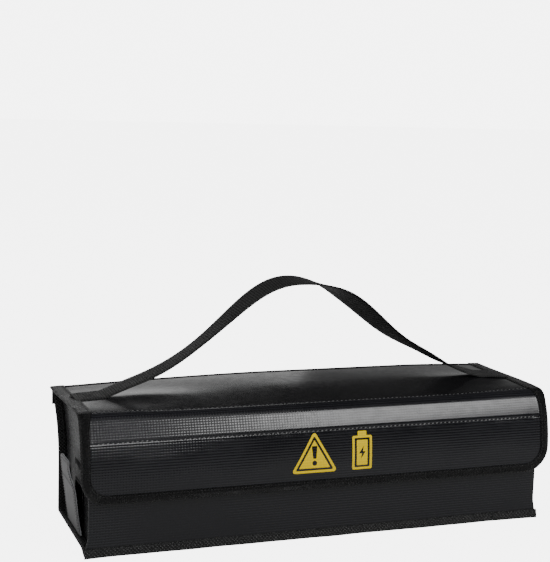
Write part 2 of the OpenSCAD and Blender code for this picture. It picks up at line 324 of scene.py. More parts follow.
def pillow_patch(outline: np.ndarray, hole: np.ndarray, thickness: float, rings: int) -> Patch:
    """A flat ring between two matched closed outlines in the XY plane, with a thickness.

    Rows run from the outline to the hole by linear interpolation. The hole may be a
    single point repeated, which makes a disc.

    Args:
        outline, hole: matched points, shape (n, 2), anticlockwise, not repeated.
        thickness: height of the top face above z = 0.
        rings: number of rows of quads.

    Returns:
        The closed ring standing on z = 0.
    """
    n = len(outline)
    t = np.linspace(0, 1, rings + 1)[:, None, None]
    flat = outline[None] * (1 - t) + hole[None] * t
    soft = np.minimum(1.0, np.minimum(t, 1 - t) * rings + 0.35)
    solid = np.allclose(hole, hole[:1])
    if solid:
        soft = np.minimum(1.0, t * rings + 0.35)
    top = np.concatenate([flat, np.broadcast_to(thickness * soft, (rings + 1, n, 1))], -1)
    base = np.concatenate([flat, np.zeros((rings + 1, n, 1))], -1)
    points = np.concatenate([top.reshape(-1, 3), base.reshape(-1, 3)])
    idx = np.arange((rings + 1) * n).reshape(rings + 1, n)
    nxt = np.roll(idx, -1, 1)
    face = ring_quads(idx)
    k = (rings + 1) * n
    walls = [np.stack([nxt[0], idx[0], idx[0] + k, nxt[0] + k], -1)]
    if not solid:
        walls.append(np.stack([idx[-1], nxt[-1], nxt[-1] + k, idx[-1] + k], -1))
    quads = np.concatenate([face, face[:, ::-1] + k, *walls])
    return Patch(points, quads, points[:, :2].copy(), np.zeros(len(points)))


def stitch_patch(path: np.ndarray, up: np.ndarray, pitch: float = 3.2 * MM,
                 length: float = 2.2 * MM, width: float = 0.55 * MM,
                 lean: float = 0.0) -> Patch:
    """A row of thread stitches: small spindles laid end to end along a path.

    Each spindle is a ring-shaped grid whose radius follows the sine of its length, and it
    is copied to every place as one array product.

    Args:
        path: the row's line, shape (n, 3).
        up: the cloth's outward normal along it, or one for all of it.
        pitch, length, width: spacing, length and thickness of the stitches.
        lean: sideways slant of each stitch, as a share of its length.

    Returns:
        All the stitches as one patch.
    """
    s = arc_length(path)
    at = np.arange(pitch / 2, s[-1], pitch)
    centre = sampled(at, s, path)
    normal = unit(sampled(at, s, np.broadcast_to(up, path.shape)))
    along = unit(sampled(at, s, tangents(path)))
    side = unit(np.cross(normal, along))
    along = unit(along + lean * side)
    side = unit(np.cross(normal, along))
    stations, around = np.linspace(0.06, 0.94, 5), np.arange(5) * 2 * math.pi / 5
    r = np.sin(math.pi * stations)[:, None] ** 0.6 * width / 2
    x = np.broadcast_to((stations[:, None] - 0.5) * length, (5, 5))
    y, z = r * np.cos(around), r * np.sin(around) * 0.9
    local = np.stack([x, y, z + width * 0.12], -1).reshape(-1, 3)
    points = (centre[:, None] + local[None, :, 0, None] * along[:, None]
              + local[None, :, 1, None] * side[:, None] + local[None, :, 2, None] * normal[:, None])
    first = 25 * np.arange(len(at))[:, None, None]
    quads = (ring_quads(np.arange(25).reshape(5, 5)) + first).reshape(-1, 4)
    caps = (np.array([range(5), range(24, 19, -1)]) + first).reshape(-1, 5).tolist()
    uv = np.tile(local[:, :2], (len(at), 1))
    return Patch(points.reshape(-1, 3), quads, uv, np.zeros(len(uv)), caps)


# ---------------------------------------------------------------- finishes


class Wiring:
    """Adds shader nodes to a tree and links them as it goes."""

    def __init__(self, tree: bpy.types.NodeTree) -> None:
        """Args: tree: the node tree that gets the nodes."""
        self.tree = tree
        self.count = 0

    def add(self, kind: str, inputs: dict | None = None, **settings: object) -> bpy.types.Node:
        """Adds one node, sets its properties, and sets or links its inputs.

        Args:
            kind: the node's type without its ShaderNode prefix, or the full type.
            inputs: socket name or number to a value or to another node's socket.
            settings: the node's own properties.

        Returns:
            The new node.
        """
        full = kind if kind.startswith(("ShaderNode", "Node")) else "ShaderNode" + kind
        node = self.tree.nodes.new(full)
        node.location = (180 * (self.count // 4), -220 * (self.count % 4))
        self.count += 1
        for name, value in settings.items():
            setattr(node, name, value)
        for name, value in (inputs or {}).items():
            if isinstance(value, bpy.types.NodeSocket):
                self.tree.links.new(value, node.inputs[name])
            else:
                node.inputs[name].default_value = value
        return node

    def math(self, operation: str, *values: object) -> bpy.types.NodeSocket:
        """One Math node's result."""
        node = self.add("Math", dict(enumerate(values)), operation=operation)
        return node.outputs[0]

    def noise(self, vector: object, scale: float, detail: float = 3.0) -> bpy.types.NodeSocket:
        """A Noise Texture's value."""
        node = self.add("TexNoise", {"Vector": vector, "Scale": scale, "Detail": detail})
        return node.outputs["Fac"]

    def remap(self, value: object, low: float, high: float, to_low: float = 0.0,
              to_high: float = 1.0) -> bpy.types.NodeSocket:
        """A smooth map from low..high to to_low..to_high."""
        node = self.add("MapRange", {"Value": value, "From Min": low, "From Max": high,
                                     "To Min": to_low, "To Max": to_high},
                        interpolation_type="SMOOTHSTEP")
        return node.outputs[0]

    def mix(self, factor: object, a: object, b: object) -> bpy.types.NodeSocket:
        """A colour mixed from a to b."""
        return self.add("Mix", {0: factor, 6: a, 7: b}, data_type="RGBA").outputs[2]


def new_group(name: str, inputs: dict, outputs: list) -> tuple:
    """Makes an empty node group with named sockets.

    Args:
        name: the group's name.
        inputs: socket name to its default; a three-part default makes a vector.
        outputs: names of the value outputs.

    Returns:
        The group, its wiring, its input node and its output node.
    """
    group = bpy.data.node_groups.new(name, "ShaderNodeTree")
    for label, default in inputs.items():
        kind = "NodeSocketVector" if isinstance(default, tuple) else "NodeSocketFloat"
        socket = group.interface.new_socket(label, in_out="INPUT", socket_type=kind)
        socket.default_value = default
    for label in outputs:
        group.interface.new_socket(label, in_out="OUTPUT", socket_type="NodeSocketFloat")
    wiring = Wiring(group)
    return group, wiring, wiring.add("NodeGroupInput"), wiring.add("NodeGroupOutput")


class Effects:
    """The shader node groups that several finishes share."""

    def __init__(self) -> None:
        """Builds every group once."""
        self.weave = self.make_weave()
        self.clouds = self.make_clouds()
        self.wear = self.make_wear()
        self.dust = self.make_dust()

    @staticmethod
    def make_weave() -> bpy.types.NodeTree:
        """Builds woven relief from raised cosines of u and v.

        With c(x) = 0.5 - 0.5 cos(2 pi x), Rib is c(v / row) and Height is
        c(u / column) c(v / row), or 0.5 + 0.5 sin(2 pi u / column) sin(2 pi v / row)
        where Crossed is 1. Gap is high between the threads.

        Returns:
            The group, with the outputs Height, Rib and Gap.
        """
        group, w, source, sink = new_group(
            "woven_threads", {"Vector": (0.0, 0.0, 0.0), "Column": 0.0016, "Row": 0.0024,
                              "Crossed": 0.0}, ["Height", "Rib", "Gap"])
        part = w.add("SeparateXYZ", {0: source.outputs[0]})
        humps, turns = [], []
        for axis, pitch in ((0, "Column"), (1, "Row")):
            turn = w.math("DIVIDE", part.outputs[axis], source.outputs[pitch])
            turns.append(w.math("SINE", w.math("MULTIPLY", turn, 2 * math.pi)))
            wave = w.math("COSINE", w.math("MULTIPLY", turn, 2 * math.pi))
            humps.append(w.math("MULTIPLY_ADD", wave, -0.5, 0.5))
        aligned = w.math("MULTIPLY", *humps)
        crossed = w.math("MULTIPLY_ADD", w.math("MULTIPLY", *turns), 0.5, 0.5)
        step = w.math("SUBTRACT", crossed, aligned)
        height = w.math("MULTIPLY_ADD", step, source.outputs["Crossed"], aligned)
        group.links.new(height, sink.inputs["Height"])
        group.links.new(humps[1], sink.inputs["Rib"])
        group.links.new(w.remap(height, 0.0, 0.5, 1.0, 0.0), sink.inputs["Gap"])
        return group

    @staticmethod
    def make_clouds() -> bpy.types.NodeTree:
        """Broad and fine variation over the object, each about 0 to 1.

        Returns:
            The group, with the outputs Broad and Fine.
        """
        group, w, source, sink = new_group(
            "clouds", {"Vector": (0.0, 0.0, 0.0)}, ["Broad", "Fine"])
        group.links.new(w.remap(w.noise(source.outputs[0], 9.0, 2.0), 0.3, 0.7), sink.inputs[0])
        group.links.new(w.remap(w.noise(source.outputs[0], 140.0, 4.0), 0.3, 0.7), sink.inputs[1])
        return group

    @staticmethod
    def make_wear() -> bpy.types.NodeTree:
        """Scuffing that is strongest at a cut edge and broken up by noise.

        Returns:
            The group, with the output Mask.
        """
        group, w, source, sink = new_group(
            "edge_wear", {"Vector": (0.0, 0.0, 0.0), "Edge": 0.01, "Reach": 0.004}, ["Mask"])
        near = w.math("DIVIDE", source.outputs["Edge"], source.outputs["Reach"])
        near = w.remap(near, 0.0, 1.0, 1.0, 0.0)
        patchy = w.remap(w.noise(source.outputs[0], 210.0, 5.0), 0.42, 0.68)
        group.links.new(w.math("MULTIPLY", near, patchy), sink.inputs[0])
        return group

    @staticmethod
    def make_dust() -> bpy.types.NodeTree:
        """Fine dust that lies on faces that look upwards.

        Returns:
            The group, with the output Mask.
        """
        group, w, source, sink = new_group("dust", {"Vector": (0.0, 0.0, 0.0)}, ["Mask"])
        normal = w.add("SeparateXYZ", {0: w.add("NewGeometry").outputs["Normal"]})
        upward = w.remap(normal.outputs[2], 0.2, 1.0)
        specks = w.remap(w.noise(source.outputs[0], 900.0, 3.0), 0.60, 0.80)
        veil = w.remap(w.noise(source.outputs[0], 30.0, 3.0), 0.35, 0.75, 0.15, 0.6)
        soft = w.math("MULTIPLY", w.math("ADD", specks, veil), 0.6)
        group.links.new(w.math("MULTIPLY", upward, soft), sink.inputs[0])
        return group


class Pattern(Enum):
    """What the surface of a finish is made of."""

    COATED = "coated"
    TAPE = "tape"
    WEBBING = "webbing"
    FELT = "felt"
    GLASS = "glass"
    HOOKS = "hooks"
    LOOPS = "loops"
    THREAD = "thread"
    INK = "ink"


WEAR_REACH = 5 * MM
RIB_HIGHLIGHT_RELIEF = 0.14 * MM  # cloth with this relief or more gets its rib lines painted in full: rib tops lighter as a painted highlight, grooves darker
DUST = (0.30, 0.29, 0.28, 1)


@dataclass(frozen=True)
class Finish:
    """One material: its base colours, gloss and surface pattern, in metres."""

    name: str
    pattern: Pattern
    colour: tuple
    worn: tuple
    roughness: float
    column: float = 0.0016
    row: float = 0.002
    crossed: float = 0.0
    relief: float = 0.0003
    strength: float = 0.5
    specular: float = 0.5
    sheen: float = 0.0

    def build(self, effects: Effects) -> bpy.types.Material:
        """The finish as a Blender material.

        Args:
            effects: the shared node groups.

        Returns:
            A new material that reads the piece's UV map, Object coordinates and the
            distance to the nearest cut edge.
        """
        material = bpy.data.materials.new(self.name)
        material.use_nodes = True
        tree = material.node_tree
        tree.nodes.clear()
        w = Wiring(tree)
        cloth_place = w.add("UVMap", uv_map="cloth").outputs[0]
        place = w.add("TexCoord").outputs["Object"]
        edge = w.add("Attribute", attribute_name="edge").outputs["Fac"]

        clouds = w.add("Group", {"Vector": place}, node_tree=effects.clouds)
        broad, fine = clouds.outputs
        scuffs = w.add("Group", {"Vector": place, "Edge": edge, "Reach": WEAR_REACH},
                       node_tree=effects.wear)
        specks = w.add("Group", {"Vector": place}, node_tree=effects.dust)
        wear, dust = scuffs.outputs[0], specks.outputs[0]
        threads = w.add("Group", {"Vector": cloth_place, "Column": self.column, "Row": self.row,
                                  "Crossed": self.crossed}, node_tree=effects.weave)
        height, rib, gap = threads.outputs
        base = w.mix(w.math("MULTIPLY", broad, 0.5), (*self.colour, 1), (*self.worn, 1))
        dark = (*(0.45 * c for c in self.colour), 1)
        rough = w.remap(fine, 0.0, 1.0, self.roughness - 0.02, self.roughness + 0.03)
        if self.pattern is Pattern.COATED:
            along = w.add("SeparateXYZ", {0: place}).outputs[0]
            slack = w.remap(along, -0.22, 0.02, 1.0, 0.12)
            calm = w.add("Attribute", attribute_name="calm").outputs["Fac"]
            taut = w.math("MULTIPLY", calm, w.remap(along, -0.20, -0.02, 0.25, 0.93))
            ribbed = w.math("MULTIPLY", w.remap(broad, 0.1, 0.9, 0.6, 1.0), 0.8)
            height = w.math("ADD", w.math("MULTIPLY", height, slack),
                            w.math("MULTIPLY", rib, ribbed))
            height = w.math("MULTIPLY", height, w.math("SUBTRACT", 1.0, taut))
            base = w.mix(w.math("MULTIPLY", gap, 0.3), base, dark)
            # painted highlight: rib tops lighter than the cloth and grooves darker, standing in for
            # light caught on the ribs
            lines = w.mix(rib, dark, (*(1.9 * c for c in self.worn), 1))
            share = min(self.relief / RIB_HIGHLIGHT_RELIEF, 1.0)
            base = w.mix(w.math("MULTIPLY", ribbed, share), base, lines)
            dull = w.math("MULTIPLY", w.math("MULTIPLY", gap, slack), calm)
            dull = w.math("MULTIPLY", dull, 0.62)
            rough = w.math("ADD", rough, w.math("MULTIPLY_ADD", broad, 0.03, dull))
        elif self.pattern is Pattern.WEBBING:
            height = w.math("MULTIPLY_ADD", height, 0.35, rib)
            base = w.mix(rib, dark, (*self.worn, 1))
        elif self.pattern in (Pattern.TAPE, Pattern.GLASS):
            fuzz = w.noise(place, 2600.0, 2.0)
            height = w.math("ADD", height, w.math("MULTIPLY", fuzz, 0.35))
            base = w.mix(gap, base, dark)
        elif self.pattern in (Pattern.FELT, Pattern.LOOPS, Pattern.HOOKS):
            tufts = w.noise(place, 1500.0 if self.pattern is Pattern.FELT else 900.0, 5.0)
            share = 0.25 if self.pattern is not Pattern.HOOKS else 0.9
            height = w.math("ADD", tufts, w.math("MULTIPLY", height, share))
            base = w.mix(w.remap(tufts, 0.35, 0.65), dark, base)
        elif self.pattern is Pattern.THREAD:
            height = w.noise(place, 3000.0, 2.0)
        elif self.pattern is Pattern.INK:
            base = w.mix(w.math("MULTIPLY", gap, 0.22), base, dark)
        base = w.mix(w.math("MULTIPLY", wear, 0.6), base, (*self.worn, 1))
        base = w.mix(w.math("MULTIPLY", dust, 0.03), base, DUST)
        rough = w.math("ADD", rough, w.math("MULTIPLY", wear, 0.16))
        rough = w.math("ADD", rough, w.math("MULTIPLY", dust, 0.07))
        bump = w.add("Bump", {"Strength": self.strength, "Distance": self.relief,
                              "Height": height})
        shader = w.add("BsdfPrincipled", {
            "Base Color": base, "Roughness": rough, "Normal": bump.outputs[0],
            "Specular IOR Level": self.specular, "Sheen Weight": self.sheen,
            "Sheen Roughness": 0.4})
        w.add("OutputMaterial", {"Surface": shader.outputs[0]})
        return material


FINISHES = {
    "cloth": Finish("coated_cloth", Pattern.COATED, (0.0058, 0.0059, 0.0074),
                    (0.0106, 0.0108, 0.0130), 0.14, column=0.0027, row=0.00245, relief=0.00014,
                    strength=0.7),
    "lid": Finish("lid_cloth", Pattern.COATED, (0.0060, 0.0060, 0.0068),
                  (0.011, 0.011, 0.012), 0.13, row=0.00245, relief=0.00002, strength=0.5),
    "end": Finish("end_cloth", Pattern.COATED, (0.021, 0.021, 0.022),
                  (0.034, 0.034, 0.035), 0.26, row=0.00245, relief=0.00010, strength=0.6),
    # tab: the coated cloth painted a lighter grey, a painted reflection of the pale floor
    "tab": Finish("tab_cloth_painted_reflection", Pattern.COATED, (0.125, 0.125, 0.128),
                  (0.150, 0.150, 0.153), 0.30, row=0.00245, relief=0.00005, strength=0.4),
    "tape": Finish("edge_tape", Pattern.TAPE, (0.0065, 0.0065, 0.0068),
                   (0.012, 0.012, 0.012), 0.27, column=0.0034, row=0.0034, crossed=1.0,
                   relief=0.0008, strength=1.0, specular=0.45),
    "webbing": Finish("webbing", Pattern.WEBBING, (0.0070, 0.0070, 0.0072),
                      (0.022, 0.022, 0.022), 0.46, column=0.0034, row=0.0026, crossed=1.0,
                      relief=0.0006, strength=0.9, specular=0.4, sheen=0.04),
    "felt": Finish("insulation_felt", Pattern.FELT, (0.50, 0.47, 0.41), (0.62, 0.59, 0.52),
                   0.9, relief=0.0006, strength=0.8, sheen=0.2),
    "lining": Finish("fireproof_lining", Pattern.GLASS, (0.36, 0.37, 0.385),
                     (0.48, 0.49, 0.50), 0.38, column=0.0018, row=0.0018, crossed=1.0,
                     relief=0.00025, strength=0.6),
    "hooks": Finish("hook_tape", Pattern.HOOKS, (0.009, 0.009, 0.0095), (0.02, 0.02, 0.02),
                    0.5, column=0.0014, row=0.0014, relief=0.0007, strength=0.9),
    "loops": Finish("loop_tape", Pattern.LOOPS, (0.011, 0.011, 0.0115), (0.022, 0.022, 0.022),
                    0.85, column=0.0018, row=0.0018, relief=0.0007, strength=0.9, sheen=0.25),
    # thread: black thread painted light grey, a painted highlight standing in for glints on the
    # stitches
    "thread": Finish("thread", Pattern.THREAD, (0.11, 0.11, 0.112), (0.20, 0.20, 0.20),
                     0.30, relief=0.0001, strength=0.4, specular=0.8),
    "fine_thread": Finish("fine_thread", Pattern.THREAD, (0.020, 0.020, 0.021),
                          (0.04, 0.04, 0.04), 0.40, relief=0.0001, strength=0.4),
    "yellow": Finish("print_yellow", Pattern.INK, (0.93, 0.66, 0.004), (0.95, 0.70, 0.03),
                     0.5, row=0.00245, relief=0.00008, strength=0.35, specular=0.08),
}


# ---------------------------------------------------------------- sizes from the frame


@dataclass(frozen=True)
class BagSizes:
    """The bag's driving places, read from the frame."""

    half_l: float
    half_d: float
    end_x: float
    bay_x: float
    wall_top: float
    edge_top: float
    lid_top: float
    lid_half: float
    lid_tape_x: float
    shoulder_y: float
    back_y: float
    foot_z: float
    hem_h: float
    mouth_y: float
    cloth_t: float = 1.0 * MM
    felt_t: float = 4.0 * MM
    lining_t: float = 0.6 * MM
    tape_t: float = 0.8 * MM
    brow_drop: float = 24.0 * MM
    tuck: float = 0.8 * MM  # from a tape's outer edge to the cut edge of the cloth in it

    @classmethod
    def from_frame(cls) -> "BagSizes":
        """Reads each place from the box of the node that holds it.

        Returns:
            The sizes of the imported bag.
        """
        low = {n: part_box(n)[0] for n in frame["nodes"]}
        high = {n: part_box(n)[1] for n in frame["nodes"]}
        return cls(
            half_l=high["front_panel"].x, half_d=high["back_panel"].y,
            end_x=high["right_end_panel"].x, bay_x=low["right_end_lining"].x,
            wall_top=high["mouth_binding_back"].z, edge_top=high["front_panel"].z,
            lid_top=high["lid_panel"].z, lid_half=high["lid_right_binding"].x,
            lid_tape_x=low["lid_right_binding"].x, shoulder_y=low["lid_insulation"].y,
            back_y=high["lid_panel"].y, foot_z=low["flap_binding"].z,
            hem_h=high["front_hem_binding"].z, mouth_y=low["mouth_binding_front"].y)

    @property
    def wall_t(self) -> float:
        """Thickness of a whole wall."""
        return self.cloth_t + self.felt_t + self.lining_t

    @property
    def brow_z(self) -> float:
        """Height at which the front wall starts to lean inwards."""
        return self.wall_top - self.brow_drop

    @property
    def setback(self) -> float:
        """How far the front wall leans inwards at the mouth."""
        return self.mouth_y + self.half_d

    def front_y(self, inset: float, z: np.ndarray) -> np.ndarray:
        """Front wall line at a distance inside the outer cloth."""
        over = np.maximum(np.asarray(z) - self.brow_z, 0.0)
        return -self.half_d + inset + self.setback * over / self.brow_drop


@dataclass(frozen=True)
class RoofLine:
    """Outer surface of lid and flap across the bag, by arc length from the shoulder's start.

    The line's turn from level is a function of arc length, and its place is the integral
    of the direction (-cos turn, -sin turn). Negative lengths run back over the lid.
    """

    start_y: float
    top_z: float
    foot_z: float
    knots: tuple = ((-20.0, 0.0), (0.0, 0.0), (13.5, 58.0), (17.0, 65.5), (32.0, 69.0),
                    (34.8, 77.5), (44.0, 80.0), (56.0, 85.0), (70.0, 89.0), (200.0, 90.0))
    step: float = 0.25 * MM
    length: float = 110 * MM
    window: int = 13

    def table(self) -> tuple:
        """The turn between the knots, averaged over a short window, and its integral.

        Returns:
            Arc lengths from the shoulder's start downwards, with their turn, y and z.
        """
        s = np.arange(0.0, self.length, self.step)
        knots = np.array(self.knots)
        turn = np.radians(np.interp(s / MM, knots[:, 0], knots[:, 1]))
        turn = np.pad(turn, self.window // 2, mode="edge")
        turn = np.convolve(turn, np.ones(self.window) / self.window, mode="valid")
        middle = (turn[1:] + turn[:-1]) / 2
        y = self.start_y - np.concatenate([[0], np.cumsum(np.cos(middle) * self.step)])
        z = self.top_z - np.concatenate([[0], np.cumsum(np.sin(middle) * self.step)])
        return s, turn, y, z

    def foot(self) -> float:
        """Arc length at which the flap's tape ends."""
        s, _, _, z = self.table()
        return float(np.interp(-self.foot_z, -z, s))

    def at(self, s: np.ndarray) -> tuple:
        """y, z and the outward normal's y and z at each arc length.

        Args:
            s: arc lengths; below zero they run back over the lid.

        Returns:
            y, z and the outward normal's y and z.
        """
        ts, turn, y, z = self.table()
        angle = np.interp(s, ts, turn)
        back = np.maximum(-s, 0.0)
        return (np.interp(s, ts, y) + back, np.interp(s, ts, z), -np.sin(angle), np.cos(angle))


@dataclass(frozen=True)
class Roof:
    """The soft surface of lid and flap: the roof line moved out along its normal."""

    sizes: BagSizes
    line: RoofLine
    upper_row: float = 1.0 * MM
    lower_row: float = 34.3 * MM

    @property
    def back(self) -> float:
        """Arc length of the lid's back edge, below zero."""
        return self.line.start_y - self.sizes.back_y

    def lid_relief(self, x: np.ndarray, s: np.ndarray) -> np.ndarray:
        """Sag at the back corners, a crown across the depth and soft rises by the handle.

        The back edge drops as a power of the distance past its level middle. The crown's
        slope runs evenly from up at the back to down at the front, so its height is a
        parabola. Two bells stand in front of the handle's ends.

        Args:
            x, s: places on the lid, with s from the back edge to 0.

        Returns:
            Height above the roof line.
        """
        v = np.clip(s / self.back, 0, 1)
        left = np.clip((-18 * MM - x) / (214 * MM), 0, 1.1) ** 1.5
        right = np.clip((x - 139 * MM) / (94 * MM), 0, 1.1) ** 1.5
        sag = (5.6 * left + 2.6 * right) * MM * smooth(v * 1.15)
        middle = 1 - smooth((np.abs(x) - 120 * MM) / (100 * MM))
        depth = -self.back
        slope_front, slope_back = 0.078, -0.028
        crown = depth * (slope_back * (v - 1) + (slope_front - slope_back) * (-(1 - v) ** 2) / 2)
        crown = (0.3 * MM + crown) * (0.35 + 0.65 * middle)
        rises = (2.0 * bell(x, -168 * MM, 38 * MM) + 2.6 * bell(x, 180 * MM, 34 * MM))
        rises = rises * MM * bell(v, 0.42, 0.15)
        ripple = 0.25 * MM * waves(x, s, 130 * MM, 3) * np.sin(math.pi * v)
        pinch = 1 - smooth((np.abs(x) - 214 * MM) / (12 * MM))
        return -sag + crown + (rises + ripple) * pinch

    def flap_relief(self, x: np.ndarray, s: np.ndarray) -> np.ndarray:
        """A filled band over the closure strip between two sewn grooves, and soft waves.

        Args:
            x, s: places on the flap, with s from 0 down.

        Returns:
            Height above the roof line.
        """
        puff = 0.5 * MM * smooth((s - self.upper_row) / (5 * MM))
        puff = puff * smooth((self.lower_row - s) / (3 * MM))
        groove = 0.45 * MM * bell(s, self.lower_row, 0.9 * MM)
        groove = groove + 0.25 * MM * bell(s, self.upper_row + 0.6 * MM, 0.8 * MM)
        low = smooth((s - self.lower_row) / (14 * MM))
        soft = 0.55 * MM * waves(x, 2.2 * s, 95 * MM, 11) * low
        pinch = 1 - 0.8 * smooth((np.abs(x) - 205 * MM) / (20 * MM))
        return (puff + soft) * pinch - groove

    def surface(self, x: np.ndarray, s: np.ndarray, lift: float = 0.0) -> np.ndarray:
        """Points of the roof at places x and arc lengths s, moved out by lift.

        Args:
            x, s: places and arc lengths, spread to one shape.
            lift: distance outwards.

        Returns:
            The points.
        """
        y, z, ny, nz = self.line.at(s)
        relief = self.lid_relief(x, np.minimum(s, 0.0)) * (1 - smooth(s / (16 * MM)))
        relief = relief + self.flap_relief(x, np.maximum(s, 0.0)) + lift
        return stacked(x, y + ny * relief, z + nz * relief)

    def normal(self, x: np.ndarray, s: np.ndarray) -> np.ndarray:
        """Outward unit normals of the roof, from small differences.

        Args:
            x, s: places and arc lengths.

        Returns:
            One unit vector for each place.
        """
        d = 0.5 * MM
        du = self.surface(x + d, s) - self.surface(x - d, s)
        ds = self.surface(x, s + d) - self.surface(x, s - d)
        n = unit(np.cross(du, ds))
        return n * np.sign(np.sum(n * np.array([0, -0.6, 0.8]), -1, keepdims=True))


# ---------------------------------------------------------------- making pieces


class Workshop:
    """Turns patches into finished objects and fastens them to the bodies."""

    def __init__(self) -> None:
        """Builds the shared groups; materials follow when first used."""
        self.effects = Effects()
        self.materials: dict = {}

    def material(self, key: str) -> bpy.types.Material:
        """The finish of that name, built on first use."""
        if key not in self.materials:
            self.materials[key] = FINISHES[key].build(self.effects)
        return self.materials[key]

    def piece(self, name: str, patch: Patch, finish: str, crease: float = 40.0) -> bpy.types.Object:
        """Makes a mesh object with its cloth coordinates, edge distances and material.

        Args:
            name: the piece's name.
            patch: its surface.
            finish: key into FINISHES.
            crease: faces that meet at more than this angle, in degrees, stay sharp.

        Returns:
            The new object, at the origin.
        """
        mesh = bpy.data.meshes.new(name)
        faces = patch.quads.tolist() + [list(map(int, cap)) for cap in patch.caps]
        mesh.from_pydata(patch.points, [], faces)
        corner = np.zeros(len(mesh.loops), np.int32)
        mesh.loops.foreach_get("vertex_index", corner)
        layer = mesh.uv_layers.new(name="cloth")
        layer.data.foreach_set("uv", patch.uv[corner].astype(np.float32).ravel())
        edge = mesh.attributes.new("edge", "FLOAT", "POINT")
        edge.data.foreach_set("value", patch.edge.astype(np.float32))
        if patch.calm is not None:
            calm = mesh.attributes.new("calm", "FLOAT", "POINT")
            calm.data.foreach_set("value", patch.calm.astype(np.float32))
        mesh.polygons.foreach_set("use_smooth", np.ones(len(mesh.polygons), bool))
        mesh.set_sharp_from_angle(angle=math.radians(crease))
        mesh.validate()
        mesh.materials.append(self.material(finish))
        obj = bpy.data.objects.new(name, mesh)
        bpy.context.scene.collection.objects.link(obj)
        return obj

    def make(self, name: str, patch: Patch, finish: str, bodies: str, slot: str,
             nodes: tuple = (), span: tuple = (), crease: float = 40.0) -> bpy.types.Object:
        """Makes a piece, lets it move with its body unless it has a span, and hides the CAD nodes
        that it replaces.

        Args:
            name, patch, finish, crease: as for piece.
            bodies: the body it rides on, or two body names with a space between them.
            slot: the record's material slot; not used.
            nodes: the CAD nodes that it replaces.
            span: given for a piece on two bodies, which then hangs on neither and keeps its place
                baked in.

        Returns:
            The finished piece.
        """
        obj = self.piece(name, patch, finish, crease)
        if span:
            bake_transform(obj)
        else:
            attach(obj, bodies)
        if nodes:
            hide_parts(*nodes)
        log.info("%s on %s: %d faces", name, bodies, len(obj.data.polygons))
        return obj


# ---------------------------------------------------------------- the tub


